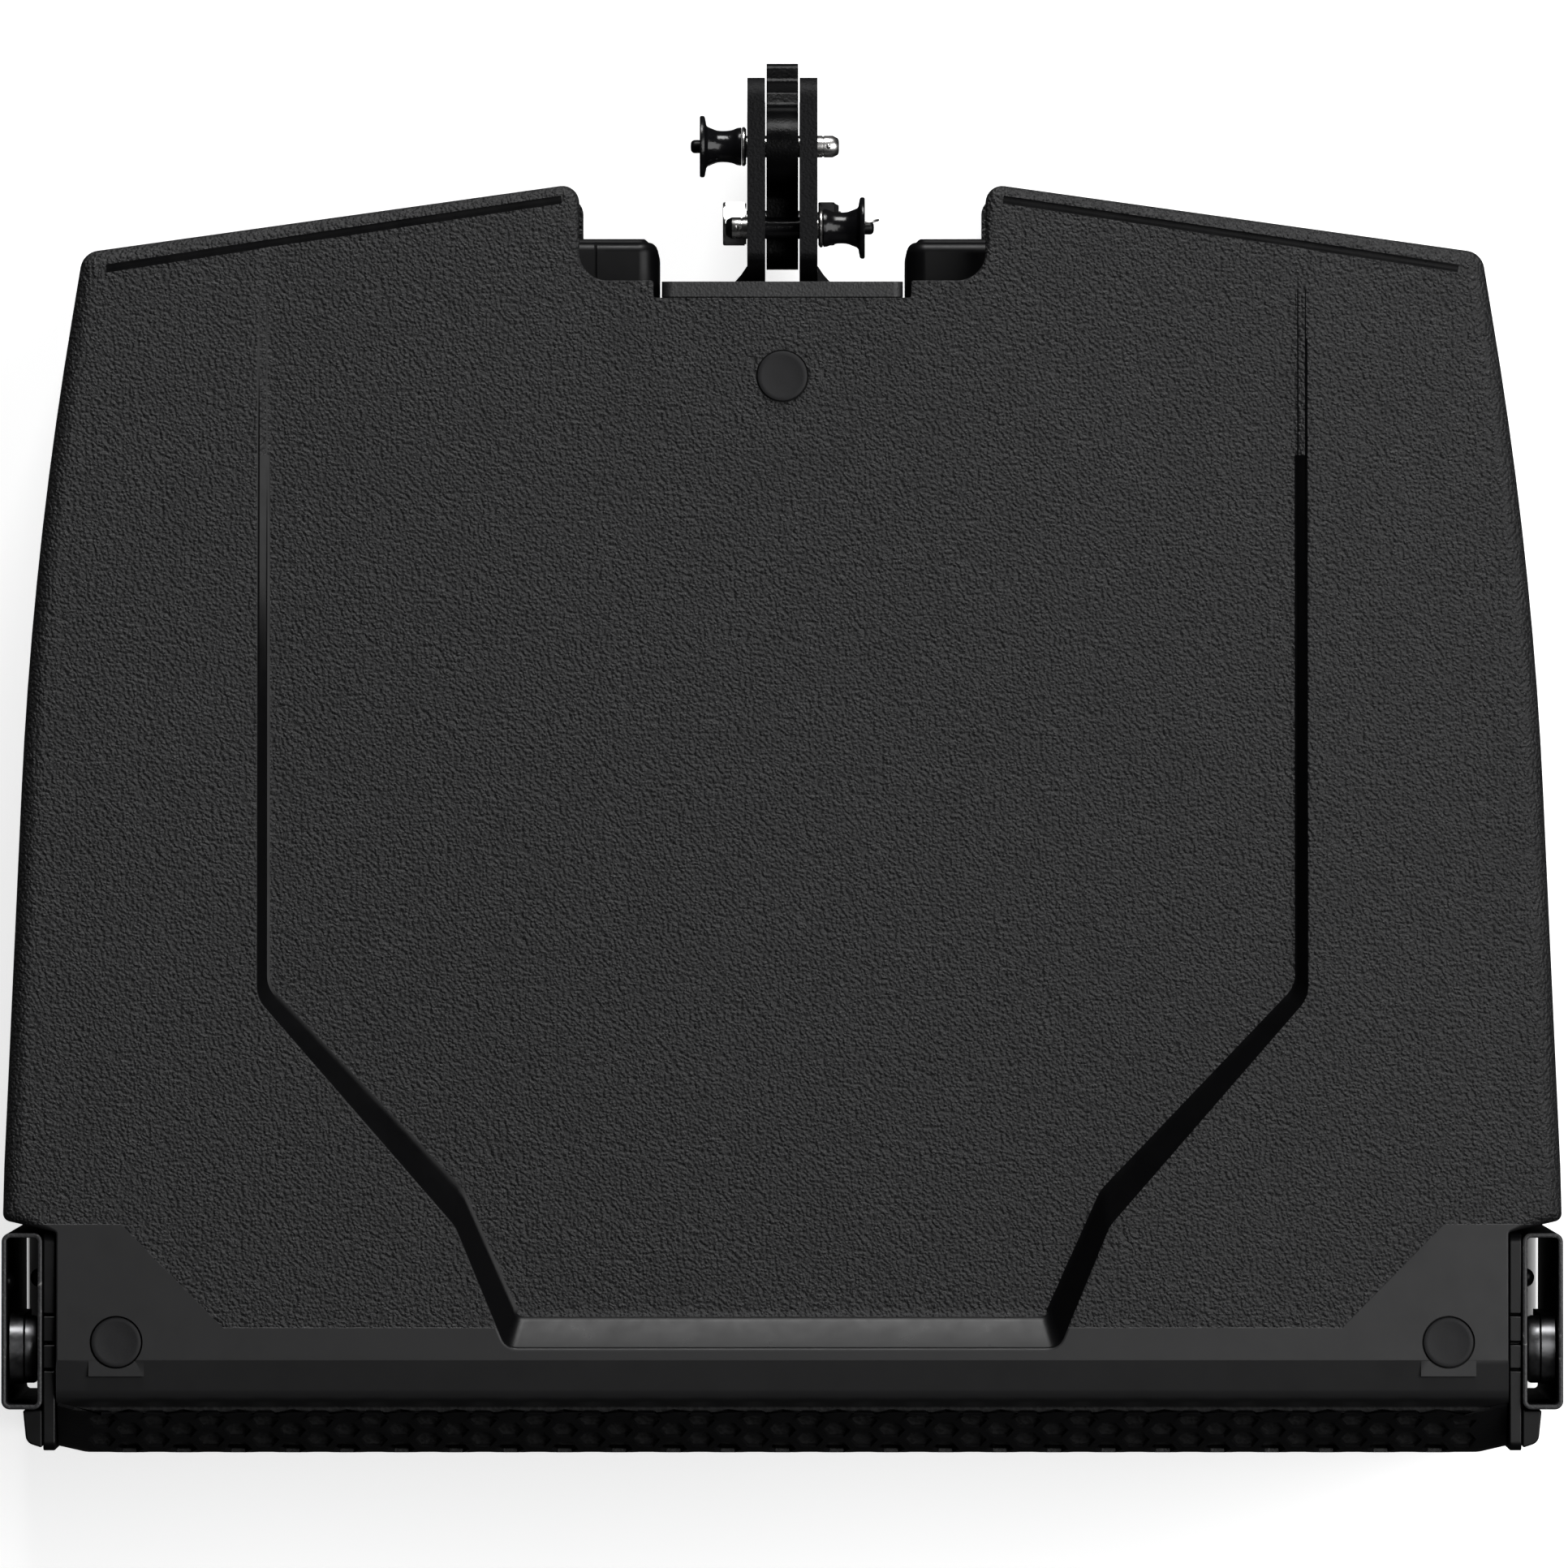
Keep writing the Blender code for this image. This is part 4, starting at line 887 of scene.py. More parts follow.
def grille_profile(depth=0.0):
    """Function from the length along the bent sheet to its (y, z), at a depth behind it."""
    lip_y, lip_z = GRILLE_LIP
    lean = atan2(lip_y - GRILLE_Y, lip_z - GRILLE_FACE_HALF)
    radius = 4.0
    setback = radius * tan(lean / 2)
    face = GRILLE_FACE_HALF - setback
    bend = radius * lean
    flange = sqrt((lip_y - GRILLE_Y) ** 2 + (lip_z - GRILLE_FACE_HALF) ** 2) - setback

    def at(s):
        sign = 1 if s >= 0 else -1
        s = abs(s)
        if s <= face:
            return GRILLE_Y + depth, sign * s
        turn = min(1.0, (s - face) / bend) * lean
        reach = radius - depth
        y = GRILLE_Y + radius - reach * cos(turn)
        z = face + reach * sin(turn)
        beyond = max(0.0, s - face - bend)
        return y + beyond * sin(lean), sign * (z + beyond * cos(lean))

    return at, face + bend + flange


def swept_back(x):
    """The sheet's ends curve back a little towards the cheeks."""
    return 2.0 * (max(0.0, abs(x) - 206.0) / 11.8) ** 2


def grille():
    """Bent steel sheet with staggered hexagonal holes and a plain border."""
    at, half_length = grille_profile()
    half_width = STRIP_SIDE - 0.3
    column = HEX_PITCH * sqrt(3) / 2
    columns, rows = 25, 23
    shape = bmesh.new()
    hole = HEX_FLATS / sqrt(3)
    cell = HEX_PITCH / sqrt(3)
    for j in range(-columns, columns + 1):
        for k in range(-rows, rows + 1):
            if (j + k) % 2:
                continue
            centre = Vector((j * column, k * HEX_PITCH / 2, 0))
            rings = []
            for reach in (hole, cell):
                spokes = [(cos(i * pi / 3), sin(i * pi / 3), 0) for i in range(6)]
                rings.append([shape.verts.new(centre + Vector(s) * reach) for s in spokes])
            for i in range(6):
                n = (i + 1) % 6
                shape.faces.new((rings[0][i], rings[0][n], rings[1][n], rings[1][i]))
    bmesh.ops.remove_doubles(shape, verts=shape.verts, dist=0.02)
    rim = []
    for edge in shape.edges:
        if edge.is_boundary:
            spot = (edge.verts[0].co + edge.verts[1].co) / 2
            j = spot.x / column
            # Hole edges lie nearer a hole's centre than the outer cell edges do
            near = min(
                (Vector((round(j + a) * column, b * HEX_PITCH / 2, 0)) - spot).length
                for a in (-1, 0, 1)
                for b in (round(spot.y / (HEX_PITCH / 2)) + c for c in (-1, 0, 1))
                if (round(j + a) + b) % 2 == 0 and abs(round(j + a)) <= columns and abs(b) <= rows
            )
            if near > 4.2:
                rim.append(edge)
    step_x, step_s = column, HEX_PITCH / 2
    across = [i * step_x for i in range(-26, 27)]
    across = [-half_width] + [x for x in across if abs(x) < half_width - 2] + [half_width]
    along = [i * step_s for i in range(-24, 25)]
    along = [-half_length] + [s for s in along if abs(s) < half_length - 1] + [half_length]
    loop = [(x, -half_length) for x in across] + [(half_width, s) for s in along[1:]]
    loop += [(x, half_length) for x in reversed(across[:-1])] + [(-half_width,
            s) for s in reversed(along[1:-1])]
    border = [shape.verts.new((x, s, 0)) for x, s in loop]
    edges = [shape.edges.new((border[i - 1], border[i])) for i in range(len(border))]
    bmesh.ops.triangle_fill(shape, use_beauty=True, use_dissolve=False, edges=edges + rim,
            normal=(0, 0, 1))
    for vertex in shape.verts:
        x, s = vertex.co.x, vertex.co.y
        y, z = at(s)
        vertex.co = Vector((x, y + swept_back(x), z)) * MM
    sheet = object_of("grille_sheet", shape, "grille")
    thick = sheet.modifiers.new("gauge", "SOLIDIFY")
    thick.thickness = GRILLE_SHEET * MM
    thick.offset = -1 if sheet.data.polygons[0].normal.y < 0 else 1
    bake(sheet)
    fit(sheet, "cabinet", "grille_steel", "grille")

    at, half_length = grille_profile(2.2)
    shape = bmesh.new()
    wide, tall = 150, 76
    front, rear = [], []
    for i in range(wide + 1):
        for k in range(tall + 1):
            x = (i / wide * 2 - 1) * (half_width - 3)
            s = (k / tall * 2 - 1) * (half_length - 3.2)
            y, z = at(s)
            spot = Vector((x, y + swept_back(x), z))
            lump = noise.fractal(spot * 0.22, 0.8, 2.0, 3) * 0.45
            front.append(shape.verts.new((spot + Vector((0, max(0.0, 0.3 - lump), 0))) * MM))
            rear.append(shape.verts.new((spot + Vector((0, 4.6, 0))) * MM))
    span = tall + 1
    for i in range(wide):
        for k in range(tall):
            a = i * span + k
            shape.faces.new((front[a], front[a + span], front[a + span + 1], front[a + 1]))
            shape.faces.new((rear[a], rear[a + 1], rear[a + span + 1], rear[a + span]))
    for side in (0, wide):
        for k in range(tall):
            a = side * span + k
            shape.faces.new((front[a], front[a + 1], rear[a + 1], rear[a]))
    for k in (0, tall):
        for i in range(wide):
            a = i * span + k
            shape.faces.new((front[a], rear[a], rear[a + span], front[a + span]))
    liner = object_of("foam_liner", shape, "foam")
    fit(liner, "cabinet", "foam", "grille_foam")


# Side trim and front rigging ----------------------------------------------------------


def side_trim(side, sign):
    """Strip beside the grille and shell, with a small moulded catch, and the cheek."""
    x = sorted((sign * (STRIP_SIDE + 0.3), sign * (TUBE_X[0] - 0.3)))
    corners = [(0.8, -110, 3), (66.0, -114, 3), (66.0, 114, 3), (0.8, 110, 3)]
    strip = prism(f"strip_{side}", fillet(corners, 8), *x, "strip", "x")
    for y, width, depth in ((33.0, 1.0, 1.2), (25.0, 0.8, 0.9), (41.5, 0.8, 0.9)):
        slot = prism("slot", rectangle((y - width / 2, y + width / 2), (110 - depth, 120)), -240,
                240, "strip", "x")
        cut(strip, slot)
    fit(soften(taper(strip), 0.5, 3), "cabinet", "trim_plastic", f"side_strip_{side}")
    near, far = TUBE_X[0], 228.1
    rear = TUBE_Y[0] - 0.3
    corners = [(near, 1.6, 0.5), (far - 1, 3.2, 3), (far, rear, 0.5), (near, rear, 0.5)]
    outline = [(sign * a, b) for a, b in fillet(corners, 8)]
    cheek = taper(prism(f"cheek_cover_{side}", outline, -110, 110, "cheek"))
    fit(soften(cheek, 0.7, 3), "cabinet", "trim_plastic", f"cheek_{side}")


def rigging_tube(side, sign):
    """Welded rectangular tube with rolled corners and worn, rounded rims."""
    edge = 0.45
    outer = rectangle(TUBE_X, TUBE_Y, 2.6, 8)
    bore_x = (TUBE_X[0] + TUBE_WALL, TUBE_X[1] - TUBE_WALL)
    bore_y = (TUBE_Y[0] + TUBE_WALL, TUBE_Y[1] - TUBE_WALL)
    bore = rectangle(bore_x, bore_y, 1.2, 8)
    top = TUBE_HALF_HEIGHT
    layers = []
    for end in (-1, 1):
        rim = [(outer, top - edge), (inset(outer, 0.14), top - 0.14), (inset(outer, edge), top)]
        rim += [(inset(bore, -edge), top), (inset(bore, -0.14), top - 0.14), (bore, top - edge)]
        if end < 0:
            rim.reverse()
        layers += [[(sign * a, b, end * h) for a, b in points] for points, h in rim]
    tube = skin(f"tube_{side}", layers, "tube", is_torus=True)
    tube.data.materials.append(looks["tube_rim"])
    for face in tube.data.polygons:
        if abs(face.center.z) > (top - edge) * MM + 1e-6:
            face.material_index = 1
    taper(tube)
    for z in (LINK_SLOT_Z[1], -LINK_NOSE_Z):
        ends = sorted((sign * 215, sign * 240))
        cut(tube, prism("hole", circle((LINK_Y, z), GUIDE_PIN_RADIUS + 0.3, 32), *ends, "tube",
                "x"))
    fit(tube, "cabinet", "rigging_steel", f"rigging_tube_{side}")


def front_link(side, sign):
    """Sliding plate with a round nose, an eye, a guide slot and a facing disc."""
    radius = LINK_RADIUS
    nose = arc((LINK_Y, LINK_NOSE_Z), radius, 0, pi, 32)
    foot = fillet([(nose[-1][0], 60, 0), (LINK_Y - radius, LINK_BOTTOM_Z, 2),
            (LINK_Y + radius, LINK_BOTTOM_Z, 2), (nose[0][0], 60, 0)], 6, False)[1:-1]
    slot_radius = GUIDE_PIN_RADIUS + 0.35
    slot = arc((LINK_Y, LINK_SLOT_Z[1]), slot_radius, 0, pi, 16)
    slot += arc((LINK_Y, LINK_SLOT_Z[0]), slot_radius, pi, 2 * pi, 16)
    eye = circle((LINK_Y, LINK_NOSE_Z + 1.5), 4.0, 40)
    ends = sorted(sign * x for x in LINK_PLATE_X)
    link = plate(f"link_plate_{side}", nose + foot, (slot, eye), *ends, "link", "x")
    fit(soften(link, 0.5, 3), f"front_link_{side}", "bright_steel", f"front_link_{side}")
    r = radius - 0.3
    near, far = LINK_DISC_X
    profile = [(4.0, near), (r - 1.2, near), (r - 0.35, near + 0.35), (r, near + 1.2),
            (r, far - 0.4), (r - 0.4, far + 0.05), (4.0, far + 0.05)]
    disc = lathe(f"link_disc_{side}", profile, (LINK_Y, LINK_NOSE_Z), "link", "x", 64, True, sign)
    fit(disc, f"front_link_{side}", "bright_steel", f"front_link_{side}")
    r = GUIDE_PIN_RADIUS
    near, far = TUBE_X
    profile = [(r - 0.8, near), (r, near + 0.5), (r, far - 0.5), (r - 0.8, far)]
    pin = lathe(f"guide_{side}", profile, (LINK_Y, LINK_SLOT_Z[1]), "steel", "x", 40, False, sign)
    fit(pin, "cabinet", "bright_steel", f"guide_pin_{side}")
    for row, (wall, way, y) in enumerate(((TUBE_X[0] + TUBE_WALL, 1, 52.6),
            (TUBE_X[1] - TUBE_WALL, -1, 51.4))):
        dome = ((2.7, 0.02), (2.7, 0.4), (2.4, 1.2), (1.7, 1.9), (0.8, 2.3), (0.1, 2.4))
        profile = [(r, wall + way * rise) for r, rise in dome]
        rivet = lathe(f"tube_rivet_{side}_{row}", profile, (y, 99.0), "satin", "x", 32, False, sign)
        fit(rivet, "cabinet", "rigging_steel")


# Rear rigging -------------------------------------------------------------------------


def bolt_head(name, centre, base, radius, height, look, axis="y", sign=1):
    """Button-head screw with a hexagon socket."""
    a0, b0 = centre
    put = AXES[axis]
    key = radius * 0.42
    rings = []
    for reach, up in ((radius, 0), (radius, 0.35), (radius * 0.93, 0.6), (radius * 0.75, 0.88),
            (radius * 0.52, 1.0)):
        points = circle(centre, reach, 36)
        rings.append([put(a, b, base + sign * height * up) for a, b in points])
    for up in (1.0, 0.35):
        ring = []
        for i in range(36):
            angle = 2 * pi * i / 36
            reach = key * cos(pi / 6) / cos((angle + pi / 6) % (pi / 3) - pi / 6)
            ring.append(put(a0 + reach * cos(angle), b0 + reach * sin(angle),
                    base + sign * height * up))
        rings.append(ring)
    return skin(name, rings, look)


def spine():
    half = SPINE_HALF_WIDTH
    outline = rectangle((-half, half), (-SPINE_HALF_HEIGHT, SPINE_HALF_HEIGHT), 3, 8)
    rows = (-74, -25, 25, 74)
    holes = [circle((sign * 27, z), 4.7, 36) for _, sign in LR for z in rows]
    slab = plate("spine", outline, holes, *SPINE_Y, "spine", "y")
    fit(soften(slab, 0.7, 3), "cabinet", "rigging_steel", "spine_plate")
    for side, sign in LR:
        for row, z in enumerate(rows):
            name = f"spine_screw_{side}_{row}"
            head = bolt_head(name, (sign * 27, z), SPINE_Y[0] + 0.4, 4.6, 4.1, "gloss")
            fit(head, "cabinet", "rigging_steel")


def ear(side, sign):
    foot = SPINE_Y[1] + 0.3
    outline = fillet(
        [
            (foot, 64, 0),
            (359.5, EAR_TOP_Z, 3),
            (414, EAR_TOP_Z, 7),
            (414, 42, 12),
            (390, 22, 12),
            (390, -38, 12),
            (410, -52, 10),
            (410, -82, 7),
            (359.5, -82, 3),
            (foot, -64, 0),
        ],
        10,
    )
    holes = [
        circle(UPPER_PIN, PIN_RADIUS + 0.4, 36),
        circle(LOWER_PIN, PIN_RADIUS + 0.4, 36),
        circle(STACK_PIN, PIN_RADIUS + 0.5, 36),
        circle(PIVOT, PIVOT_RADIUS + 0.3, 36),
    ]
    x = sorted(sign * a for a in EAR_X)
    sheet = plate(f"ear_plate_{side}", outline, holes, *x, "powder", "x")
    fit(soften(sheet, 0.6, 3), "cabinet", "rigging_steel", f"ear_{side}")
    for row, (low, high) in enumerate(((36, 62), (-60, -34))):
        rings = []
        steps = 52
        for i in range(steps + 1):
            z = low + (high - low) * i / steps
            swell = 0.35 * abs(sin(i * pi / 4)) + 0.2 * noise.noise(Vector((z, row, sign)))
            end = min(1.0, min(i, steps - i) / 3 + 0.35)
            leg = (3.5 + swell) * end
            run = (4.6 + swell) * end
            corner = (EAR_X[1] + 0.05, foot)
            bow = 0.45 * end
            profile = [corner, (corner[0] + leg, foot),
                    (corner[0] + leg * 0.5 - bow * 0.2, foot + run * 0.45), (corner[0], foot + run)]
            rings.append([(sign * a, b, z) for a, b in profile])
        weld = skin(f"weld_{side}_{row}", rings, "powder")
        fit(weld, "cabinet", "rigging_steel", f"ear_{side}")


def rear_link():
    """Fan-shaped plate: wide foot on the pivot bolt, round nose on the upper pin."""
    nose = arc(UPPER_PIN, 11.0, pi, 0, 32)
    body = [
        (405.6, 61, 3),
        (410, 59, 1.5),
        (413.5, 51, 3),
        (419, 49, 2.5),
        (419, 14, 14),
        (357, 14, 14),
        (357, 60, 5),
        (381, 60, 4),
    ]
    rest = fillet([(*nose[-1], 0)] + body + [(*nose[0], 0)], 10, False)[1:-1]
    spoke = Vector(UPPER_PIN) - Vector(PIVOT)
    width = PIN_RADIUS + 0.45
    slot = []
    for turn in (-SWING, SWING):
        arm = spoke.copy()
        arm.rotate(Matrix.Rotation(turn, 2))
        heading = Vector((-arm.y, arm.x)).angle_signed(Vector((1, 0)))
        first = heading - pi / 2 if turn > 0 else heading + pi / 2
        slot += arc(Vector(PIVOT) + arm, width, first, first + pi, 14)
    eye = circle(PIVOT, PIVOT_RADIUS + 0.4, 36)
    link = plate("rear_link_plate", nose + rest, (slot, eye), -LINK_HALF, LINK_HALF, "satin", "x")
    fit(soften(link, 0.55, 3), "rear_link", "link_steel", "rear_link")


def hex_ring(x, flats, most=99.0):
    """Hexagon of that width, cut by a cone to at most this radius."""
    ring = []
    for i in range(72):
        angle = 2 * pi * i / 72
        reach = flats / 2 / cos((angle + pi / 6) % (pi / 3) - pi / 6)
        reach = min(reach, most)
        ring.append((x, PIVOT[0] + reach * cos(angle), PIVOT[1] + reach * sin(angle)))
    return ring


def pivot():
    """Hexagon bolt with a chamfered head and a threaded end, and its nut."""
    near = EAR_X[1] + 0.3
    head = [
        hex_ring(-18.0, 13, 4.2),
        hex_ring(-18.0, 13, 6.1),
        hex_ring(-17.75, 13, 6.7),
        hex_ring(-17.2, 13),
        hex_ring(-near - 0.5, 13),
        hex_ring(-near - 0.5, 13, 6.2),
        hex_ring(-near, 13, 6.2),
        hex_ring(-near, 13, 3.0),
    ]
    fit(skin("bolt_head", head, "zinc"), "cabinet", "bright_steel", "pivot_bolt")
    rings = [(3.0, -near + 0.02), (PIVOT_RADIUS, -near + 0.02), (PIVOT_RADIUS, 10.0)]
    turns = 9
    for i in range(turns):
        x = 10.2 + i * 0.9
        rings += [(PIVOT_RADIUS, x), (3.45, x + 0.45)]
    rings += [(3.3, 18.3), (2.9, 18.5)]
    fit(lathe("bolt_shank", rings, PIVOT, "zinc", "x", 40), "cabinet", "bright_steel", "pivot_bolt")
    far = 17.1
    bore = PIVOT_RADIUS + 0.12
    nut = [
        hex_ring(near, 13, 6.4),
        hex_ring(near + 0.3, 13, 7.0),
        hex_ring(near + 0.7, 13),
        hex_ring(far - 1.9, 13),
        hex_ring(far - 1.4, 13, 6.9),
        hex_ring(far - 1.2, 13, 6.2),
        hex_ring(far, 13, 5.6),
        hex_ring(far, 13, bore + 0.5),
        hex_ring(far - 0.5, 13, bore),
        hex_ring(near + 0.4, 13, bore),
        hex_ring(near, 13, bore + 0.4),
    ]
    fit(skin("lock_nut", nut, "powder", is_torus=True), "cabinet", "bright_steel", "pivot_nut")


def quick_pin(name, place, sign):
    """Quick-release pin: steel shaft with detent balls, black knob, push-button."""
    inner = EAR_X[1] + 0.3
    shaft = [(1.3, -17.1), (2.1, -17.0), (2.6, -16.6), (PIN_RADIUS, -15.2), (PIN_RADIUS, -12.6)]
    shaft += [(PIN_RADIUS - 0.25, -12.5), (PIN_RADIUS - 0.25, -12.1), (PIN_RADIUS, -12.0)]
    shaft += [(PIN_RADIUS, -EAR_X[0]), (PIN_RADIUS, EAR_X[0]), (PIN_RADIUS, inner), (5.2, inner),
            (5.6, inner + 0.25), (5.9, inner + 0.6), (5.9, 11.9), (5.6, 12.2), (3.0, 12.25)]
    made = lathe(f"{name}_shaft", shaft, place, "steel", "x", 56, False, sign)
    made.data.materials.append(looks["gloss"])
    for face in made.data.polygons:
        along = face.center.x * sign / MM
        is_dark = abs(along) < EAR_X[0] or along < -15.6
        face.material_index = int(is_dark and name == "lower_pin")
    fit(made, name, "link_steel", name)
    waist = curved([(5.75, 12.5), (5.6, 13.6), (5.0, 15.2), (4.72, 17.4), (4.85, 19.6),
            (5.5, 21.4), (5.95, 22.5)], 5)
    knob = [(2.6, 12.3), (5.4, 12.3)] + waist
    knob += [(6.4, 22.9), (8.6, 23.3), (9.1, 23.5), (9.3, 23.9), (9.3, 24.5), (9.1, 24.8),
            (8.8, 24.9)]
    knob += [(4.2, 24.9), (3.9, 24.6), (3.2, 24.5), (2.9, 24.7), (2.45, 24.7), (2.45, 14.5)]
    made = lathe(f"{name}_grip", knob, place, "gloss", "x", 64, True, sign)
    fit(made, name, "link_steel", name)
    for turn in (pi / 2, -pi / 2):
        spot = (place[0] + 2.75 * cos(turn), place[1] + 2.75 * sin(turn))
        ball = [(0.9 * sin(i * pi / 10) + 0.02, -13.9 + 0.9 * cos(i * pi / 10)) for i in range(11)]
        made = lathe(f"{name}_ball_{'up' if turn > 0 else 'down'}", ball, spot, "steel", "x", 20,
                False, sign)
        fit(made, name, "link_steel", name)
    cap = [(2.0, 17.0), (2.0, 26.4), (1.9, 26.9), (1.5, 27.4), (1.0, 27.6), (0.2, 27.65)]
    made = lathe(f"{name}_push", cap, place, "trim", "x", 32, False, sign)
    fit(made, f"{name}_button", "trim_plastic", f"{name}_button")


def wire_ring(name, centre, radius, wire, body, turn):
    """Split ring of steel wire hanging from a pin's flange."""
    rings = []
    for i in range(48):
        angle = 2 * pi * i / 48
        out = Vector((cos(turn) * cos(angle), sin(turn) * cos(angle), sin(angle)))
        spot = Vector(centre) + out * radius
        other = Vector((-sin(turn), cos(turn), 0))
        ring = []
        for a, b in circle((0, 0), wire, 12):
            ring.append(tuple(spot + out * a + other * b))
        rings.append(ring)
    made = skin(name, rings, "steel", is_torus=True)
    fit(made, body, "link_steel")


# Rear panels --------------------------------------------------------------------------


def hood(side, sign):
    """Deep frame round a rear panel, its rear edge rounded over."""

    def ring(y, by):
        low, high = HOOD_SIDES
        bottom, top = HOOD_Z
        points = rectangle((low + by, high - by), (bottom + by, top - by), max(1.0, 6.0 - by), 8)
        return [(sign * a, y, b) for a, b in points]

    rear = HOOD_REAR_Y
    front = PANEL_Y[1] + 0.3
    rings = [ring(front, 0), ring(rear - 4.5, 0)]
    rings += [ring(rear - 4.5 + 3.5 * sin(t), 3.0 * (1 - cos(t))) for t in (0.3, 0.6, 0.9, 1.2,
            pi / 2)]
    rings += [ring(rear - 0.3, 3.7), ring(rear, 4.2), ring(rear - 0.5, 4.8), ring(rear - 1.0, 5.0),
            ring(front, 4.5)]
    frame_piece = skin(f"hood_frame_{side}", rings, "trim", is_torus=True)
    if sign < 0:
        groove = prism("groove", rectangle((-56.9, -56.0), (340, 370)), HOOD_Z[1] - 1.3, 90, "trim")
        cut(frame_piece, groove)
    weigh = frame_piece.modifiers.new("shading", "WEIGHTED_NORMAL")
    weigh.keep_sharp = True
    fit(frame_piece, "cabinet", "trim_plastic", f"hood_{side}")


def rear_panel(side, sign):
    """Coated plate with socket holes, corner screws and indicator lenses."""
    low, high = HOOD_SIDES
    x = sorted((sign * (low + 0.5), sign * (high - 0.5)))
    bottom, top = HOOD_Z[0] + 0.5, HOOD_Z[1] - 0.5
    holes = [circle(place, 12.4, 48) for place in SOCKETS.values() if place[0] * sign > 0]
    sheet = plate(f"panel_plate_{side}", rectangle(x, (bottom, top), 4), holes, *PANEL_Y, "panel",
            "y")
    fit(soften(sheet, 0.3, 2), "cabinet", "panel_metal", f"rear_panel_{side}")
    face = PANEL_Y[1] + 0.02
    spots = [(a, b) for a in (low + 10, high - 10) for b in (bottom + 8, top - 8)]
    for i, (a, b) in enumerate(spots):
        fit(bolt_head(f"panel_screw_{side}_{i}", (sign * a, b), face, 3.1, 1.8, "gloss"),
                "cabinet", "panel_metal")
    for i, (a, b) in enumerate(((60, -9), (96, -9))):
        bead = lathe(f"indicator_{side}_{i}",
                [(2.2, face), (2.2, face + 0.5), (1.7, face + 1.1), (0.3, face + 1.4)],
                (sign * a, b), "lens", "y", 24)
        fit(bead, "cabinet", "socket_plastic")


def socket(name, place):
    """Panel socket with a bevelled flange, bore and contacts."""
    x, z = place
    front = PANEL_Y[1] + 0.3
    outline = rectangle((x - 13, x + 13), (z - 15.5, z + 15.5), 3, 8)
    flange = plate(f"{name}_flange", outline, [circle(place, 8.6, 56)], front, front + 2.2,
            "socket", "y")
    fit(soften(flange, 0.5, 3), "cabinet", "socket_plastic", f"{name}_socket")
    barrel = [(8.6, front + 0.1), (12.0, front + 0.1), (12.0, 322.4), (11.6, 322.0), (0.4, 322.0),
            (0.4, 326.0), (8.6, 326.0)]
    fit(lathe(f"{name}_barrel", barrel, place, "socket", "y", 56, True), "cabinet",
            "socket_plastic", f"{name}_socket")
    is_mains = name.startswith("mains")
    count = 3
    for i in range(count):
        angle = pi / 2 + 2 * pi * i / count
        spot = (x + 4.6 * cos(angle), z + 4.6 * sin(angle))
        if is_mains:
            tab = prism(f"{name}_contact_{i}",
                    rectangle((spot[0] - 1.8, spot[0] + 1.8), (spot[1] - 0.5, spot[1] + 0.5), 0.2,
                    3), 326.05, 338, "contact", "y")
        else:
            pin = [(1.15, 326.05), (1.15, 337.5), (0.9, 338.3), (0.3, 338.8)]
            tab = lathe(f"{name}_contact_{i}", pin, spot, "contact", "y", 24)
        fit(tab, "cabinet", "socket_plastic")
    for i, (a, b) in enumerate(((-9.6, 12.2), (9.6, -12.2))):
        head = bolt_head(f"{name}_screw_{i}", (x + a, z + b), front + 2.22, 2.4, 1.3, "gloss")
        fit(head, "cabinet", "socket_plastic")
    catch = prism(f"{name}_catch", rectangle((x - 3.2, x + 3.2), (z + 10.2, z + 14.4), 1.0, 5),
            front + 2.22, front + 3.4, "trim", "y")
    fit(soften(catch, 0.35, 2), "cabinet", "socket_plastic")


def knob(name, place):
    """Fluted rotary knob with a pointer line, and a scale of dots round it."""
    front = PANEL_Y[1] + 0.3
    rings = []
    profile = ((0, 7.5, 0), (1.6, 7.5, 0), (2.0, 7.2, 0), (2.4, 6.6, 0.5), (10.6, 6.05, 0.5),
            (11.5, 5.6, 0.35), (12, 4.9, 0.1), (12, 3.0, 0.0))
    for height, radius, depth in profile:
        ring = []
        for i in range(96):
            angle = 2 * pi * i / 96
            reach = radius - depth * (0.5 - 0.5 * cos(angle * 16))
            ring.append((place[0] + reach * cos(angle), front + height,
                    place[1] + reach * sin(angle)))
        rings.append(ring)
    slot = name
    fit(skin(f"{name}_cap", rings, "trim"), slot, "trim_plastic", name)
    line = prism(f"{name}_line", rectangle((place[0] - 0.4, place[0] + 0.4),
            (place[1] + 1.2, place[1] + 5.2), 0.3, 4), front + 11.5, front + 12.15, "mark", "y")
    fit(line, slot, "trim_plastic")
    shape = bmesh.new()
    for i in range(11):
        angle = radians(-60 + 30 * i)
        spot = Vector((place[0] + 10.2 * cos(angle), PANEL_Y[1] + 0.05,
                place[1] + 10.2 * sin(angle)))
        turn = Matrix.Rotation(pi / 2, 4, "X")
        size = 0.75 if i in (0, 10) else 0.5
        bmesh.ops.create_cone(shape, cap_ends=True, segments=16, radius1=size * MM,
                radius2=size * 0.9 * MM, depth=0.12 * MM,
                matrix=Matrix.Translation(spot * MM) @ turn)
    fit(object_of(f"{name}_scale", shape, "mark"), "cabinet", "panel_metal")


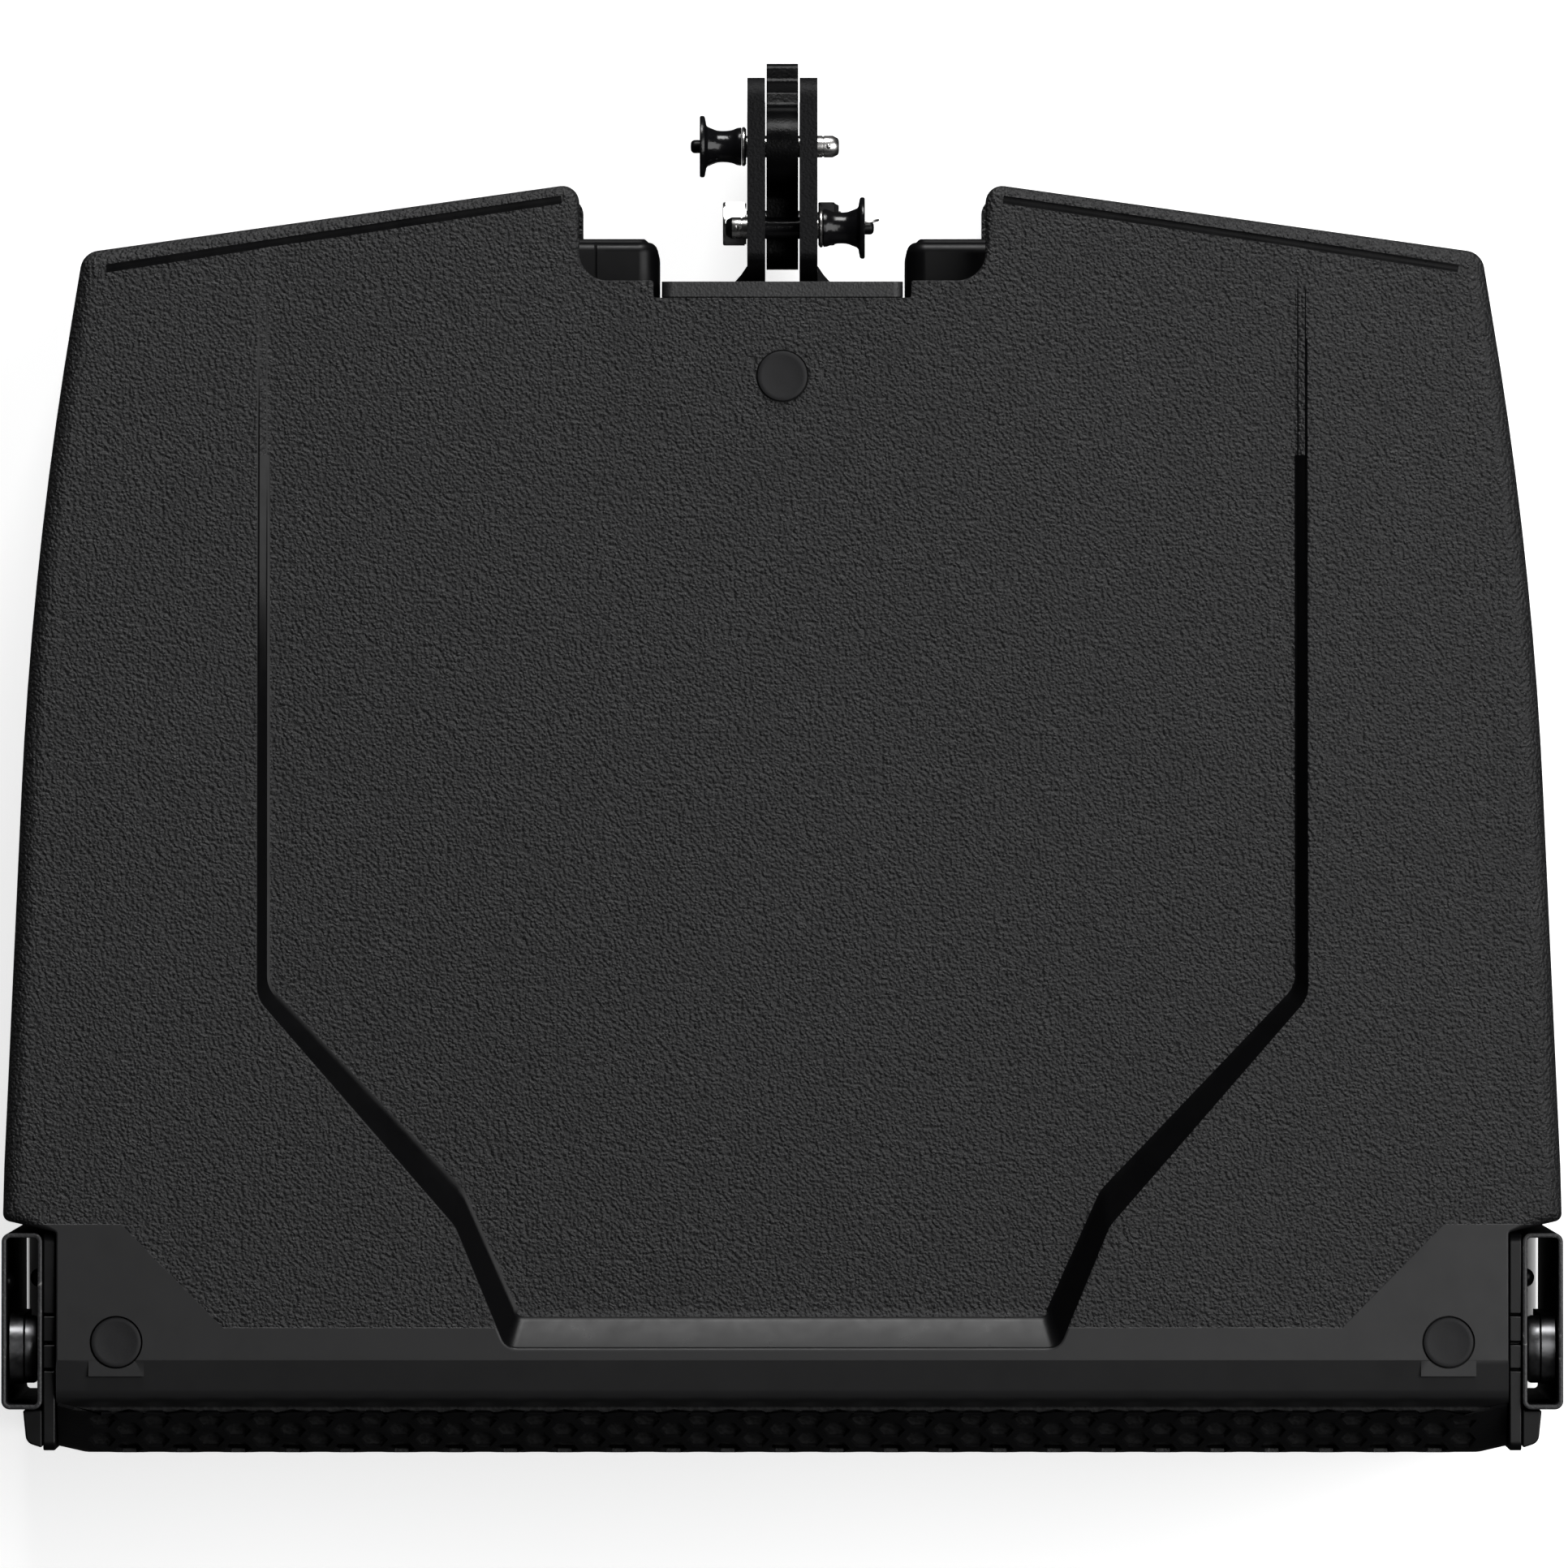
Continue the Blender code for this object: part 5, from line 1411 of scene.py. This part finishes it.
def heatsink():
    """Finned block on the power panel, its fin tips rounded."""
    low, high = HEATSINK_X
    base = PANEL_Y[1] + 0.3
    fins = HEATSINK_FINS
    pitch = (high - low) / (fins * 2 - 1)
    corners = [(low, base, 0), (high, base, 0)]
    for i in range(fins):
        right = high - 2 * i * pitch
        corners += [(right, base + 15, 1.2), (right - pitch, base + 15, 1.2)]
        if i < fins - 1:
            corners += [(right - pitch, base + 4, 1.2), (right - 2 * pitch, base + 4, 1.2)]
    block = prism("heatsink_fins", fillet(corners, 5), *HEATSINK_Z, "aluminium")
    fit(soften(block, 0.25, 2), "cabinet", "aluminium", "heatsink")


# Pieces kept from the frame -----------------------------------------------------------


def finish_kept_nodes():
    """The hidden pieces keep their shapes and get their own finishes."""
    kept = {"front_baffle": "board", "horn": "trim", "compression_driver": "ferrite"}
    kept |= {"amplifier_board": "circuit", "power_supply_board": "circuit"}
    for side, _ in LR:
        kept |= {f"woofer_basket_{side}": "basket", f"woofer_magnet_{side}": "ferrite"}
        kept |= {f"woofer_cone_{side}": "paper", f"woofer_surround_{side}": "surround"}
        kept |= {f"reflex_port_{side}": "trim"}
    for node, look in kept.items():
        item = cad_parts[node]
        for holder in item.material_slots:
            holder.material = looks[look]


# Studio -------------------------------------------------------------------------------


def area_light(name, place, aim, size, power, spread=180):
    data = bpy.data.lights.new(name, "AREA")
    data.shape = "RECTANGLE"
    data.size, data.size_y = size
    data.energy = power
    data.spread = radians(spread)
    lamp = bpy.data.objects.new(name, data)
    lamp.location = place
    lamp.rotation_euler = (Vector(aim) - Vector(place)).to_track_quat("-Z", "Y").to_euler()
    lamp.visible_camera = False
    bpy.context.scene.collection.objects.link(lamp)


def studio():
    scene = bpy.context.scene
    scene.view_settings.view_transform = "Standard"
    scene.view_settings.look = "None"
    world = bpy.data.worlds.new("studio")
    scene.world = world
    world.use_nodes = True
    back = world.node_tree.nodes["Background"]
    back.inputs[0].default_value = (1.0, 1.0, 1.0, 1.0)
    back.inputs[1].default_value = 0.02

    shape = bmesh.new()
    bmesh.ops.create_grid(shape, x_segments=1, y_segments=1, size=6.0)
    floor = object_of("floor", shape, "floor")
    floor.location = (0, 0, -0.0004)
    floor.visible_glossy = False
    floor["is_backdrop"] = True

    area_light("top_softbox", (1.3, 0.45, 2.1), (0.1, 0.1, 0.1), (1.6, 2.0), 61)
    area_light("rear_softbox", (0.1, 2.3, 0.75), (0, 0.05, 0.1), (1.0, 0.9), 60)

    data = bpy.data.cameras.new("camera")
    camera = bpy.data.objects.new("camera", data)
    scene.collection.objects.link(camera)
    scene.camera = camera
    data.lens = 611.0
    data.sensor_width = 36.0
    aim = CABINET @ (Vector((0.5, 201, 102)) * MM)
    away = CABINET.to_3x3() @ Vector((0, 0, 1))
    camera.location = aim + away * 8.0
    camera.rotation_euler = (-WEDGE, 0, 0)
    data.clip_end = 50


def main():
    make_looks()
    looks["floor"] = floor_look()
    cabinet()
    grille()
    for side, sign in LR:
        side_trim(side, sign)
        rigging_tube(side, sign)
        front_link(side, sign)
        ear(side, sign)
        hood(side, sign)
        rear_panel(side, sign)
    spine()
    rear_link()
    pivot()
    quick_pin("upper_pin", UPPER_PIN, -1)
    quick_pin("lower_pin", LOWER_PIN, 1)
    wire_ring("lower_pin_ring", (26.0, LOWER_PIN[0] + 1.6, LOWER_PIN[1] + 3.2), 3.0, 0.35,
            "lower_pin", 0.25)
    for name, place in SOCKETS.items():
        socket(name, place)
    for name, place in KNOBS.items():
        knob(name, place)
    heatsink()
    finish_kept_nodes()
    studio()


main()
boxes = {"cad": cad_box, "visual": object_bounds()}
{key: [list(map(float, corner)) for corner in pair] for key, pair in boxes.items()}
